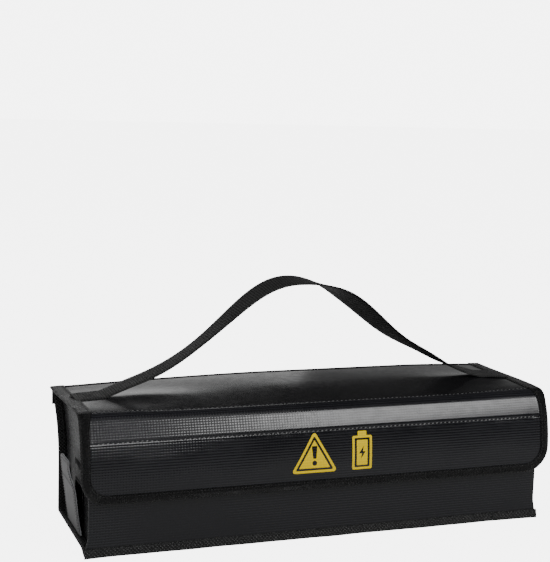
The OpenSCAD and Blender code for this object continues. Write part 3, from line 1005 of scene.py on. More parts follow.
@dataclass
class Tub:
    """Walls, bound seams, lining, padding and the fixed closure strips."""

    shop: Workshop
    sizes: BagSizes
    rim: float = 2.4 * MM
    hook_half: float = 9.6 * MM
    port_y: tuple = field(init=False)
    port_z: tuple = field(init=False)

    def __post_init__(self) -> None:
        """Reads the port's opening from the tape around it."""
        low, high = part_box("port_binding")
        tape = 3 * MM
        self.port_y = (low.y + tape, high.y - tape)
        self.port_z = (low.z + tape, high.z - tape)

    @staticmethod
    def flared(patch: Patch) -> Patch:
        """Leans the ends outwards near the mouth, most at the back.

        A point moves by 7.2 mm times ((z - 45) / 77)^2.4, a ramp of y and a ramp of |x|.
        The front bottom corners stand out by up to 2.8 mm.

        Args:
            patch: a piece of the tub; its points are moved in place.

        Returns:
            The same patch.
        """
        x, y, z = patch.points.T
        up = np.clip((z - 45 * MM) / (77 * MM), 0, 1.1) ** 2.4
        rear = 0.35 + 0.65 * smooth((y + 20 * MM) / (80 * MM))
        ends = smooth((np.abs(x) - 190 * MM) / (24 * MM))
        toe = smooth((22 * MM - z) / (20 * MM)) * smooth((-y - 35 * MM) / (35 * MM))
        patch.points[:, 0] += np.sign(x) * (7.2 * up * rear + 2.8 * toe) * MM * ends
        return patch

    def make(self, name: str, patch: Patch, finish: str, slot: str, nodes: tuple = (),
             crease: float = 40.0) -> bpy.types.Object:
        """A piece that rides on the tub, leaned outwards with its ends."""
        return self.shop.make(name, self.flared(patch), finish, "tub", slot, nodes, crease=crease)

    def corners(self, inset: float, top: float) -> list:
        """Corners (y, z) of the front wall, the base and the back wall at an inset."""
        z = self.sizes
        return [(float(z.front_y(inset, top)), top), (float(z.front_y(inset, z.brow_z)), z.brow_z),
                (inset - z.half_d, inset), (z.half_d - inset, inset), (z.half_d - inset, top)]

    def section(self, inset: float, spacing: float, radius: float) -> np.ndarray:
        """The YZ line of the front wall, the base and the back wall at an inset."""
        return rounded_path(self.corners(inset, self.sizes.edge_top), radius, spacing)

    def girth(self, inset: float) -> float:
        """Length of the section at an inset: what a sheet round it is cut to."""
        return float(arc_length(self.section(inset, 1 * MM, 2 * MM))[-1])

    def wrap(self, inset: float, half_x: float, thickness: float, bulge: float,
             radius: float, seed: int) -> Patch:
        """A sheet that runs down the front, under the base and up the back.

        The section line is carried along X and moved along its normal by soft waves and
        by a fullness that is greatest in the middle of each wall.

        Args:
            inset: distance inside the outer cloth.
            half_x: half of the sheet's length.
            thickness, bulge: how thick it is and how far its walls swell.
            radius: fillet of its folds.
            seed: fixes the waves.

        Returns:
            The closed sheet.
        """
        line = self.section(inset, 2.6 * MM, radius)
        t = tangents(line)
        normal = np.stack([t[:, 1], -t[:, 0]], -1)
        s = arc_length(line)
        x = np.linspace(-half_x, half_x, 121)
        z = self.sizes
        upright = np.clip((line[:, 1] - inset) / (z.brow_z - inset), 0, 1)
        fullness = np.sin(math.pi * upright) * (np.abs(normal[:, 0]) > 0.7)
        ends = 1 - np.clip(np.abs(x) / half_x, 0, 1) ** 6
        out = bulge * (fullness[None] * ends[:, None]
                       + 0.35 * waves(x[:, None], s[None], 90 * MM, seed) * ends[:, None]
                       * np.clip(fullness, 0, 1)[None])
        points = stacked(x[:, None], line[:, 0] + out * normal[:, 0],
                         line[:, 1] + out * normal[:, 1])
        outward = stacked(0.0, normal[:, 0], normal[:, 1])
        return sheet_patch(points, outward, thickness, stacked(x[:, None], s))

    def end_sheet(self, side: int, depth: float, thickness: float, inset: float,
                  bulge: float, port: bool) -> Patch:
        """One layer of an end wall between the bound seams.

        Rows are level lines from the leaning front seam to the back seam, and the sheet
        swells by a product of sines with soft waves. Cells inside the port stay open.

        Args:
            side: -1 for the left end, 1 for the right one.
            depth: distance inside the outer cloth.
            thickness, bulge: how thick the layer is and how far it swells.
            inset: distance from the walls' outer faces to its border.
            port: whether the port is cut out of it.

        Returns:
            The closed layer.
        """
        z = self.sizes
        low, high = inset, z.edge_top
        rows = np.unique(np.concatenate([np.linspace(low, high, 44), self.port_z]))
        across = np.unique(np.concatenate([np.linspace(inset - z.half_d, z.half_d - inset, 50),
                                           self.port_y]))
        share = (across - across[0]) / (across[-1] - across[0])
        front = z.front_y(inset, rows)
        y = front[:, None] + share[None] * (z.half_d - inset - front)[:, None]
        y = np.where(rows[:, None] <= z.brow_z, across[None], y)
        v = (rows - low) / (high - low)
        swell = np.sin(math.pi * share)[None] * np.sin(math.pi * v)[:, None]
        crease = bell((y - 0.55 * (rows[:, None] - 0.05)), -38 * MM, 9 * MM) * smooth(
            (rows[:, None] - 55 * MM) / (40 * MM))
        soft = waves(y, rows[:, None], 60 * MM, 21 + side)
        near = np.clip(np.maximum(np.abs(y - sum(self.port_y) / 2) / (30 * MM),
                                  np.abs(rows[:, None] - sum(self.port_z) / 2) / (28 * MM)), 0, 1)
        calm = smooth((near - 0.6) / 0.4) if port else 1.0
        out = bulge * calm * (swell * (0.7 + 0.3 * soft) - 0.5 * crease * swell)
        x = z.end_x - depth + out
        points = stacked(side * x, y, rows[:, None])
        keep = None
        if port:
            my, mz = (across[1:] + across[:-1]) / 2, (rows[1:] + rows[:-1]) / 2
            inside = ((my > self.port_y[0]) & (my < self.port_y[1]))[None] & (
                (mz > self.port_z[0]) & (mz < self.port_z[1]))[:, None]
            keep = ~inside
        return sheet_patch(points, -side * LEFT, thickness, stacked(y, rows[:, None]), keep)

    def rim_tape(self, side: int) -> Patch:
        """The bound seam around an end: a soft flattened loop carried down, along and up.

        The loop's profile is a superellipse, and its thickness swells and thins slightly.

        Args:
            side: -1 for the left end, 1 for the right one.

        Returns:
            The closed loop.
        """
        z = self.sizes
        line = self.section(z.cloth_t + self.rim / 2, 2.0 * MM, 4 * MM)
        t = tangents(line)
        up = stacked(0.0, t[:, 1], -t[:, 0])
        width = z.half_l - z.end_x
        s = arc_length(line)
        x = side * (z.end_x + width / 2 + 0.35 * MM * waves(s, 0 * s, 50 * MM, 5 + side))
        a = np.arange(20) * 2 * math.pi / 20
        shape = stacked(
            np.sign(np.cos(a)) * np.abs(np.cos(a)) ** 0.5 * (width / 2 - 0.2 * MM),
            np.sign(np.sin(a)) * np.abs(np.sin(a)) ** 0.6 * (self.rim / 2 - 0.05 * MM))
        scale = np.minimum(1 + 0.06 * waves(s, 0 * s, 24 * MM, 8 + side), 1.0)
        return sweep_patch(stacked(x, line[:, 0], line[:, 1]), -side * LEFT, up, shape, scale=scale)

    def rim_stitches(self, side: int) -> Patch:
        """The row of stitches on the outer faces of a rim, seen from the end.

        Args:
            side: -1 for the left end, 1 for the right one.

        Returns:
            The stitches.
        """
        z = self.sizes
        corners = self.corners(z.cloth_t + self.rim, z.edge_top - 4 * MM)
        line = rounded_path(corners, 3 * MM, 2 * MM)
        t = tangents(line)
        row = stacked(side * (z.end_x + 2.4 * MM), line[:, 0], line[:, 1])
        return stitch_patch(row, stacked(0.0, -t[:, 1], t[:, 0]))

    def build_walls(self) -> None:
        """Outer cloth, end cloths, rims and hem."""
        z = self.sizes
        shell = self.wrap(0.0, z.half_l, z.cloth_t, 1.3 * MM, 2.2 * MM, 31)
        cloth = self.make("tub_cloth", shell, "cloth", "coated_cloth",
                          ("front_panel", "base_panel", "back_panel"))
        self.girth(0.0)
        for side, name in SIDES:
            sheet = self.end_sheet(side, 0.0, z.cloth_t, z.cloth_t + 0.3 * MM, 1.6 * MM, side < 0)
            cloth = self.make(f"{name}_end_cloth", sheet, "end", "coated_cloth",
                              (f"{name}_end_panel",))
            rim = self.make(f"{name}_rim_tape", self.rim_tape(side), "tape", "edge_tape",
                            (f"{name}_rim_binding",))
            self.make(f"{name}_rim_stitches", self.rim_stitches(side), "fine_thread", "edge_tape")
        self.build_hem()

    def build_hem(self) -> None:
        """The folded tape along the front bottom edge, with its row of stitches."""
        z = self.sizes
        x = np.linspace(-z.half_l - 1.0 * MM, z.half_l + 1.0 * MM, 161)
        flare = np.clip((np.abs(x) - 200 * MM) / (25 * MM), 0, 1) ** 2
        path = stacked(x, -z.half_d - 1.2 * MM * flare,
                       0.25 * MM * (1 + waves(x, 0 * x, 60 * MM, 41)))
        h, t = z.hem_h, z.tape_t
        shape = np.array([(-0.2, 0.1), (0.5, 0.0), (1.0, 0.35), (1.15, 1.2), (1.0, 3.0),
                          (0.95, 6.0), (0.9, 8.2), (0.5, 8.9), (0.0, 9.0), (-0.2, 8.0)]) * MM
        shape[:, 0] *= t / (0.8 * MM)
        shape[:, 1] *= h / (9 * MM)
        hem = self.make("front_hem_tape", sweep_patch(path, FRONT, UP, shape), "tape", "edge_tape",
                        ("front_hem_binding",))
        row = path + np.array([0, -0.9 * MM, h - 1.8 * MM])
        self.make("hem_stitches", stitch_patch(row, FRONT), "fine_thread", "edge_tape")

    def build_inside(self) -> None:
        """Lining, padding between the layers, and the tape over the mouth."""
        z = self.sizes
        depth = z.cloth_t + z.felt_t
        lining = self.wrap(depth, z.bay_x, z.lining_t, 0.4 * MM, 3 * MM, 51)
        for side, _ in SIDES:
            lining = lining + self.end_sheet(side, depth, z.lining_t, depth, 0.4 * MM, side < 0)
        sheet = self.make("tub_lining", lining, "lining", "fireproof_lining",
                          ("front_lining", "back_lining", "base_lining", "left_end_lining",
                           "right_end_lining"))
        strip, tall = self.girth(depth), z.edge_top - depth
        under, thick = z.cloth_t + 0.1 * MM, z.felt_t - 0.4 * MM
        pad = self.wrap(under, z.bay_x - 0.1 * MM, thick, 0.5 * MM, 2 * MM, 61)
        self.make("wall_padding", pad, "felt", "insulation_felt",
                            ("front_insulation", "back_insulation", "base_insulation"))
        for side, name in SIDES:
            pad = self.end_sheet(side, under, thick, depth, 0.4 * MM, side < 0)
            self.make(f"{name}_end_padding", pad, "felt", "insulation_felt",
                                (f"{name}_end_insulation",))
        self.build_mouth()

    def build_mouth(self) -> None:
        """Tape folded over the raw edge of the walls, all round the mouth."""
        z = self.sizes
        half = z.wall_t / 2
        corners = [(-z.end_x + half, z.mouth_y + half), (z.end_x - half, z.mouth_y + half),
                   (z.end_x - half, z.half_d - half), (-z.end_x + half, z.half_d - half)]
        line = rounded_path(corners, 3.5 * MM, 2.5 * MM, closed=True)
        t = tangents(line, closed=True)
        across = stacked(t[:, 1], -t[:, 0], 0.0)
        path = stacked(line[:, 0], line[:, 1], z.wall_top)
        w, leg = half + 0.25 * MM, 4.0 * MM
        ply = 0.75 * MM
        fold = [(w - ply, -leg), (w, -leg), (w + 0.1 * MM, -1.2 * MM), (w - 0.6 * MM, -0.25 * MM),
                (w - 1.6 * MM, 0.0), (-w + 1.6 * MM, 0.0), (-w + 0.6 * MM, -0.25 * MM),
                (-w - 0.1 * MM, -1.2 * MM), (-w, -leg), (ply - w, -leg), (ply - w, -ply),
                (w - ply, -ply)]
        tape = sweep_patch(path, across, UP, np.array(fold), closed=True)
        tape = self.make("mouth_tape", tape, "tape", "edge_tape",
                         ("mouth_binding_front", "mouth_binding_back", "mouth_binding_left",
                          "mouth_binding_right"), crease=60)

    def build_strips(self) -> None:
        """The hook strip on the leaning front wall and the one above the port.

        The long one is a flat sheet whose two long borders are pressed down as bells.
        """
        z = self.sizes
        lean = math.atan2(z.setback, z.brow_drop)
        out = np.array([0.0, -math.cos(lean), math.sin(lean)])
        rise = np.array([0.0, math.sin(lean), math.cos(lean)])
        low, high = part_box("closure_hook_strip")
        centre = np.array([0.0, (low.y + high.y) / 2, (low.z + high.z) / 2]) - out * 0.7 * MM
        x = np.linspace(low.x, high.x, 101)
        v = np.linspace(-self.hook_half, self.hook_half, 13)
        press = 1 - bell(v, v[0], 1.2 * MM) - bell(v, v[-1], 1.2 * MM)
        lift = 1.0 * MM + 0.3 * MM * press
        points = (centre - x[:, None, None] * LEFT + v[None, :, None] * rise
                  + lift[None, :, None] * out)
        patch = sheet_patch(points, out, 0.95 * MM, stacked(x[:, None], v))
        tape = self.make("hook_strip", patch, "hooks", "hook_tape", ("closure_hook_strip",))
        low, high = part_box("port_hook_strip")
        y, v = np.linspace(low.y, high.y, 21)[:, None], np.linspace(low.z, high.z, 11)
        uv = stacked(y - (low.y + high.y) / 2, v - (low.z + high.z) / 2)
        patch = sheet_patch(stacked(high.x - 0.8 * MM, y, v), LEFT, 0.7 * MM, uv)
        tape = self.make("port_hook_tape", patch, "hooks", "hook_tape", ("port_hook_strip",))

    def build_port(self) -> None:
        """Tape folded through the port and over both faces of the end wall."""
        z = self.sizes
        corners = [(self.port_y[0], self.port_z[0]), (self.port_y[1], self.port_z[0]),
                   (self.port_y[1], self.port_z[1]), (self.port_y[0], self.port_z[1])]
        line = rounded_path(corners, 2.5 * MM, 1.0 * MM, closed=True)
        t = tangents(line, closed=True)
        outward = stacked(0.0, t[:, 1], -t[:, 0])
        path = stacked(-z.end_x, line[:, 0], line[:, 1])
        w, t2, d = 3.0 * MM, 0.7 * MM, z.wall_t
        shape = np.array([(w, 0), (w, -t2 * 0.6), (w - t2, -t2), (0.2 * MM, -t2), (-t2, -0.2 * MM),
                          (-t2, d + 0.2 * MM), (0.2 * MM, d + t2), (w - t2, d + t2),
                          (w, d + t2 * 0.6), (w, d), (0, d), (0, 0)])
        patch = sweep_patch(path, outward, -LEFT, shape, closed=True)
        tape = self.make("port_tape", patch, "tape", "edge_tape", ("port_binding",), crease=60)

    def build(self) -> None:
        """Makes every piece of the tub."""
        self.build_walls()
        self.build_inside()
        self.build_strips()
        self.build_port()


# ---------------------------------------------------------------- lid and flap


def tape_profile(width: float, layers: float, tape: float) -> np.ndarray:
    """A C-shaped fold of tape around an edge: (distance in from the edge, height)."""
    t, n = tape, layers
    return np.array([
        (width, 0.0), (width, 0.55 * t), (width - 0.5 * t, 0.95 * t), (width * 0.5, 1.05 * t),
        (t * 1.2, t), (0.1 * t, 0.7 * t), (-0.65 * t, 0.1 * t), (-0.9 * t, -n / 2),
        (-0.65 * t, -n - 0.1 * t), (0.1 * t, -n - 0.7 * t), (t * 1.2, -n - t),
        (width * 0.5, -n - 1.05 * t), (width - 0.5 * t, -n - 0.95 * t), (width, -n - 0.55 * t),
        (width, -n), (width * 0.5, -n), (0.1 * t, -n), (0.1 * t, 0.0), (width * 0.5, 0.0)])


@dataclass
class Lid:
    """Lid cloth, padding, lining, side tapes and the back hinge fold."""

    shop: Workshop
    sizes: BagSizes
    roof: Roof

    def build(self) -> None:
        """Makes every piece of the lid."""
        self.build_cloth()
        self.build_padding()
        self.build_tapes()
        self.build_hinge()

    def build_cloth(self) -> None:
        """The lid's outer cloth, from the back edge to the start of the shoulder."""
        shop, z, roof = self.shop, self.sizes, self.roof
        x = np.linspace(-z.lid_half + z.tuck, z.lid_half - z.tuck, 141)
        s = np.concatenate([np.linspace(roof.back, -8 * MM, 50), np.linspace(-7 * MM, 0.5 * MM, 12)])
        points = roof.surface(x[:, None], s[None])
        patch = sheet_patch(points, UP, z.cloth_t, stacked(x[:, None], s))
        cloth = shop.make("lid_cloth", patch, "lid", "lid", "coated_cloth", ("lid_panel",))

    def build_padding(self) -> None:
        """The lid's felt under its cloth, thinner at its rim, and the lining below it."""
        shop, z, roof = self.shop, self.sizes, self.roof
        low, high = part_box("lid_insulation")
        x = np.linspace(low.x, high.x, 101)
        s = np.linspace(roof.back + 1 * MM, -1 * MM, 45)
        top = roof.surface(x[:, None], s[None], -z.cloth_t - 0.15 * MM)
        under = z.wall_top + 0.35 * MM
        floor = under + z.lining_t + 0.1 * MM
        rim = np.minimum(np.minimum(x - x[0], x[-1] - x)[:, None],
                         np.minimum(s - s[0], s[-1] - s)[None])
        full = 0.55 + 0.45 * smooth(rim / (5 * MM))
        top[..., 2] = np.maximum(floor + (top[..., 2] - floor) * full, floor + 0.2 * MM)
        patch = sheet_patch(top, UP, 0.1 * MM, stacked(x[:, None], s))
        patch.points[rim.size:] = stacked(top[..., 0], top[..., 1], floor).reshape(-1, 3)
        shop.make("lid_padding", patch, "felt", "lid", "insulation_felt",
                            ("lid_insulation",))
        x = np.linspace(low.x - 1 * MM, high.x + 1 * MM, 101)
        y = np.linspace(z.shoulder_y, z.back_y - 0.5 * MM, 45)
        level = under + 0.06 * MM * np.abs(waves(x[:, None], y[None], 40 * MM, 71))
        patch = sheet_patch(stacked(x[:, None], y, level), -UP, z.lining_t * 0.9,
                            stacked(x[:, None], y))
        sheet = shop.make("lid_lining_sheet", patch, "lining", "lid", "fireproof_lining",
                          ("lid_lining",))

    def build_tapes(self) -> None:
        """Edge tape folded over the lid's short edges, with its stitches."""
        shop, z, roof = self.shop, self.sizes, self.roof
        s = np.linspace(roof.back, 0.4 * MM, 66)
        width = z.lid_half - z.lid_tape_x
        shape = tape_profile(width - z.tuck, z.cloth_t, z.tape_t)
        for side, name in SIDES:
            edge_x = side * (z.lid_half - z.tuck) + 0 * s
            path, normal = roof.surface(edge_x, s), roof.normal(edge_x, s)
            inward = unit(roof.surface(edge_x - side * width, s) - path)
            patch = sweep_patch(path, inward, normal, shape)
            tape = shop.make(f"lid_{name}_tape", patch, "tape", "lid", "edge_tape",
                             (f"lid_{name}_binding",))
            row = path + inward * (width - 3 * MM) + normal * z.tape_t
            shop.make(f"lid_{name}_stitches", stitch_patch(row, normal), "fine_thread", "lid",
                      "edge_tape")

    def build_hinge(self) -> None:
        """The folded tape that joins the lid's back edge to the back wall.

        Its height runs evenly up the wall and then, by a smooth ramp, to the lid's sagging
        edge. Its depth bulges as a sine and turns over onto the lid as a power of 1.5.
        """
        shop, z, roof = self.shop, self.sizes, self.roof
        low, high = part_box("back_hinge_tape")
        beyond = 6.5 * MM
        x = np.linspace(low.x - beyond, high.x + beyond, 125)
        t = z.tape_t
        top = roof.surface(x, np.full_like(x, roof.back))[:, 2]
        v = np.linspace(0, 1, 31)
        rise = smooth((v - 0.55) / 0.45)
        base_z = low.z + (z.wall_top - low.z) * np.minimum(v / 0.6, 1.0)
        zz = base_z[None] + rise[None] * (top[:, None] + 0.1 * MM - z.wall_top)
        over = np.clip((v - 0.86) / 0.14, 0, 1)
        yy = z.half_d + t + 0.5 * MM * np.sin(math.pi * v) - over ** 1.5 * 5.0 * MM
        yy = yy + 0.3 * MM * np.sin(math.pi * v) * waves(x[:, None], zz, 40 * MM, 81)
        patch = sheet_patch(stacked(x[:, None], yy, zz + t * over), np.array([0, 1.0, 0.3]),
                            t * 0.9, stacked(x[:, None], zz))
        span = ((0, z.half_d, z.wall_top - 3 * MM), (0, z.half_d, z.wall_top + 4 * MM))
        fold = shop.make("hinge_fold", patch, "tape", "tub lid", "edge_tape",
                         ("back_hinge_tape",), span)


@dataclass
class Flap:
    """Flap cloth, lining, tape, loop strip, stitches and printed symbols."""

    shop: Workshop
    sizes: BagSizes
    roof: Roof
    corner_r: float = 25.0 * MM
    edging: float = 9.0 * MM
    wider: float = 4.0 * MM  # more width of edging at the shoulder
    strip_from: float = 16.5 * MM
    strip_to: float = 35.5 * MM
    ink: float = 0.16 * MM
    rays: int = 144

    def layer(self, lift: float, thickness: float, inset: float, start: float) -> Patch:
        """One layer of the flap: the roof's surface from a start down to the round edge.

        Args:
            lift, thickness: where the layer's outer face lies, and how thick it is.
            inset: distance from the tape's outer edge to the layer's.
            start: arc length at which it starts.

        Returns:
            The closed layer, calm where the strip behind it stretches it.
        """
        half, r = self.sizes.lid_half - inset, self.corner_r - inset
        x = crowded(half, r, 12, 131)
        foot = round_edge(x, half, self.roof.line.foot() - inset, r)
        v = np.concatenate([np.linspace(0, 0.36, 40), np.linspace(0.375, 1, 40)])
        s = start + v[None] * (foot[:, None] - start)
        points = self.roof.surface(x[:, None], s, lift)
        patch = sheet_patch(points, DOWN_SLOPE, thickness, stacked(x[:, None], s))
        down = patch.uv[:, 1]
        patch.calm = smooth((down - 8 * MM) / (8 * MM)) * smooth((33.5 * MM - down) / (3 * MM))
        return patch

    def outline(self, inset: float) -> tuple:
        """Places (x, s) along the flap's edge, from the shoulder down, along and up.

        Args:
            inset: distance inside the tape's outer edge.

        Returns:
            The places' x and s.
        """
        half, foot = self.sizes.lid_half - inset, self.roof.line.foot() - inset
        corners = [(-half, 0.4 * MM), (-half, foot), (half, foot), (half, 0.4 * MM)]
        line = rounded_path(corners, self.corner_r - inset, 2.0 * MM)
        return line[:, 0], line[:, 1]

    def build(self) -> None:
        """Makes every piece of the flap."""
        shop, z, roof = self.shop, self.sizes, self.roof
        span = ((0.0, z.shoulder_y, z.lid_top),
                (0.0, z.shoulder_y - 12.5 * MM, z.lid_top - 8.0 * MM))
        inset = z.tuck
        wide, tall = 2 * (z.lid_half - inset), roof.line.foot() - inset
        for name, lift, thickness, start, finish, slot, node in (
                ("flap_cloth", 0.0, z.cloth_t, 0.4 * MM, "cloth", "coated_cloth", "flap_panel"),
                ("flap_lining_sheet", -z.cloth_t - 0.05 * MM, z.lining_t, 1 * MM, "lining",
                 "fireproof_lining", "flap_lining")):
            sheet = shop.make(name, self.layer(lift, thickness, inset, start), finish, "lid flap",
                              slot, (node,), span)
        self.build_tape(span)
        self.build_loop_strip()
        self.build_stitches(span)
        self.build_prints()

    def build_tape(self, span: tuple) -> None:
        """Edge tape carried round the flap's edge, and its stitches.

        A point of the fold lies in from the edge by a share of the tape's width, which
        grows towards the shoulder, or by a fixed distance where it turns round the edge.

        Args:
            span: handed on to Workshop.make for the pieces that sit on lid and flap.
        """
        shop, z, roof = self.shop, self.sizes, self.roof
        x, s = self.outline(z.tuck)
        path, normal = roof.surface(x, s), roof.normal(x, s)
        inward = unit(np.cross(normal, tangents(path)))
        inward *= np.sign(np.sum(inward * (roof.surface(0 * x, 0 * s + 0.05) - path), -1,
                                 keepdims=True))
        width = self.edging + self.wider * smooth((24 * MM - s) / (24 * MM)) - z.tuck
        far, rise = tape_profile(1.0, z.cloth_t + z.lining_t, z.tape_t).T
        share = np.where(far < 0.3, 0.0, far)
        reach = share * width[:, None] + (far - share)
        patch = sweep_patch(path, inward, normal, stacked(share, rise))
        points = path[:, None] + reach[..., None] * inward[:, None] + rise[:, None] * normal[:, None]
        patch.points = points.reshape(-1, 3)
        tape = shop.make("flap_tape", patch, "tape", "lid flap", "edge_tape", ("flap_binding",),
                         span)
        row = path + inward * (width - 1.6 * MM)[:, None] + normal * z.tape_t * 1.02
        shop.make("flap_tape_stitches", stitch_patch(row, normal), "fine_thread", "lid flap",
                  "edge_tape", (), span)

    def build_loop_strip(self) -> None:
        """The loop strip sewn inside the flap."""
        shop, z, roof = self.shop, self.sizes, self.roof
        low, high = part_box("closure_loop_strip")
        x = np.linspace(low.x, high.x, 101)
        s = np.linspace(self.strip_from, self.strip_to, 15)
        lift = -z.cloth_t - z.lining_t - 0.1 * MM
        points = roof.surface(x[:, None], s[None], lift)
        patch = sheet_patch(points, DOWN_SLOPE, 1.0 * MM, stacked(x[:, None], s))
        tape = shop.make("loop_strip", patch, "loops", "flap", "loop_tape",
                         ("closure_loop_strip",))

    def build_stitches(self, span: tuple) -> None:
        """The two rows of stitches that hold the closure strip.

        Args:
            span: handed on to Workshop.make for the pieces that sit on lid and flap.
        """
        shop, z, roof = self.shop, self.sizes, self.roof
        x = np.linspace(-z.lid_tape_x, z.lid_tape_x, 401)
        loose = 0.35 + 0.5 * smooth((-x - 60 * MM) / (120 * MM))
        rows = []
        for at, lean, width in ((roof.upper_row, 0.0, 0.38 * MM), (roof.lower_row, 0.35, 1.1 * MM)):
            s = at + loose * MM * waves(x, 0 * x, 22 * MM, 17)
            rows.append(stitch_patch(roof.surface(x, s, 0.1 * MM), roof.normal(x, s), lean=lean,
                                     pitch=4.4 * MM, length=2.3 * MM, width=width))
        # these rows take the light grey thread finish, a painted highlight for glints on black
        # thread
        shop.make("flap_row_stitches", rows[0] + rows[1], "thread", "lid flap", "coated_cloth",
                  (), span)

    def on_flap(self, patch: Patch, x0: float, z0: float) -> Patch:
        """A flat patch laid on the flap: its x stays, its y becomes height up the flap.

        Args:
            patch: the flat patch, standing on z = 0.
            x0, z0: where its origin comes on the flap.

        Returns:
            The patch on the flap.
        """
        ts, _, _, tz = self.roof.line.table()
        x = patch.points[:, 0] + x0
        s = np.interp(-(patch.points[:, 1] + z0), -tz, ts)
        normal = self.roof.normal(x, s)
        points = self.roof.surface(x, s) + normal * (patch.points[:, 2:] + 0.02 * MM)
        return Patch(points, patch.quads, stacked(x, s), np.full(len(x), 0.02), patch.caps)

    def build_prints(self) -> None:
        """The warning triangle and the battery, each in yellow with open dark lines."""
        shop = self.shop
        for make, name, node in ((self.warning, "warning_sign", "warning_print"),
                                 (self.battery, "battery_sign", "battery_print")):
            low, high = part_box(node)
            patch = make(high.x - low.x, high.z - low.z)
            patch = self.on_flap(patch, (low.x + high.x) / 2, low.z)
            shop.make(name, patch, "yellow", "flap", "print_yellow", (node,))

    def printed(self, outer: tuple, hole: tuple, centre: tuple, rings: int) -> Patch:
        """A printed ring between two outlines, each given as its corners and fillet."""
        return pillow_patch(self.ring_points(*outer, self.rays, centre),
                            self.ring_points(*hole, self.rays, centre), self.ink, rings)

    @staticmethod
    def ring_points(corners: list, radius: float, count: int, centre: tuple) -> np.ndarray:
        """A rounded closed outline sampled at even angles about a centre.

        Each ray from the centre is cut with the outline by interpolating its polar angle.

        Args:
            corners, radius: the outline's corners and their fillet.
            count: how many points.
            centre: where the rays start.

        Returns:
            The points, anticlockwise, shape (count, 2).
        """
        line = rounded_path(corners, radius, 0.25 * MM, closed=True)[:-1] - np.array(centre)
        angle = np.unwrap(np.arctan2(line[:, 1], line[:, 0]))
        if angle[-1] < angle[0]:
            line, angle = line[::-1], angle[::-1]
        want = np.linspace(-math.pi, math.pi, count, endpoint=False)
        radii = np.hypot(line[:, 0], line[:, 1])
        turns = np.concatenate([angle - 2 * math.pi, angle, angle + 2 * math.pi])
        r = np.interp(want, turns, np.tile(radii, 3))
        return stacked(r * np.cos(want), r * np.sin(want)) + np.array(centre)

    def warning(self, w: float, h: float) -> Patch:
        """Rounded triangle: a yellow rim, an open line, and a yellow field round a mark.

        The field is split level with the gap of the mark into a part round the bar and a
        part round the dot.

        Args:
            w, h: width and height of the printed sign.

        Returns:
            The flat sign, its foot in the middle at the origin.
        """
        reach = 1.6 * MM
        wide, tall = w + 2 * reach, h + 1.7 * reach
        radius = wide * tall / (wide + 2 * math.hypot(wide / 2, tall))

        def triangle(inset: float) -> list:
            """The triangle's corners moved in by an inset."""
            k = 1 - inset / radius
            return [(x * k, radius + (y - radius) * k)
                    for x, y in ((-wide / 2, 0), (wide / 2, 0), (0, tall))]

        cut = h * 0.33
        border = self.printed((triangle(0), 2.2 * MM), (triangle(2.3 * MM), 1.0 * MM),
                              (0.0, cut), 3)
        (x0, y0), (x1, _), (_, y2) = triangle(4.3 * MM)
        half = x1 * (y2 - cut) / (y2 - y0)
        top = [(-half, cut), (half, cut), (0, y2)]
        foot = [(x0, y0), (x1, y0), (half, cut), (-half, cut)]
        bar = [(-1.6 * MM, h * 0.365), (1.6 * MM, h * 0.365), (2.7 * MM, h * 0.69),
               (-2.7 * MM, h * 0.69)]
        r, y = 2.3 * MM, h * 0.25
        dot = [(-r, y - r), (r, y - r), (r, y + r), (-r, y + r)]
        upper = self.printed((top, 0.3 * MM), (bar, 0.7 * MM), (0.0, h * 0.5), 4)
        lower = self.printed((foot, 0.3 * MM), (dot, 2.2 * MM), (0.0, y), 4)
        return border + upper + lower

    def battery(self, w: float, h: float) -> Patch:
        """Battery: a rim, an open line, a yellow field round a bolt, and a cap.

        Args:
            w, h: width and height of the printed sign.

        Returns:
            The flat sign, its foot in the middle at the origin.
        """
        cap = 4.2 * MM
        body = h - cap

        def box(side: float, level: float) -> list:
            """The body's corners moved in sideways and in height."""
            return [(side - w / 2, level), (w / 2 - side, level),
                    (w / 2 - side, body - level), (side - w / 2, body - level)]

        centre = (0.0, body / 2)
        border = self.printed((box(0, 0), 1.6 * MM), (box(2.3 * MM, 2.2 * MM), 0.3 * MM),
                              centre, 3)
        bolt = [(x * MM, body / 2 + y * MM) for x, y in
                ((-0.2, -0.8), (-3.3, -0.8), (1.7, 6.4), (0.7, 0.9), (3.3, 0.9), (-1.5, -6.4))]
        middle = self.printed((box(4.5 * MM, 4.0 * MM), 0.3 * MM), (bolt, 0.1 * MM), centre, 4)
        top = [(-w * 0.22, body - 0.3 * MM), (w * 0.22, body - 0.3 * MM), (w * 0.22, h),
               (-w * 0.22, h)]
        centre = (0.0, body + cap / 2)
        ring = self.ring_points(top, 0.7 * MM, self.rays, centre)
        lug = pillow_patch(ring, np.tile(centre, (self.rays, 1)), self.ink, 3)
        return border + middle + lug


# ---------------------------------------------------------------- handle


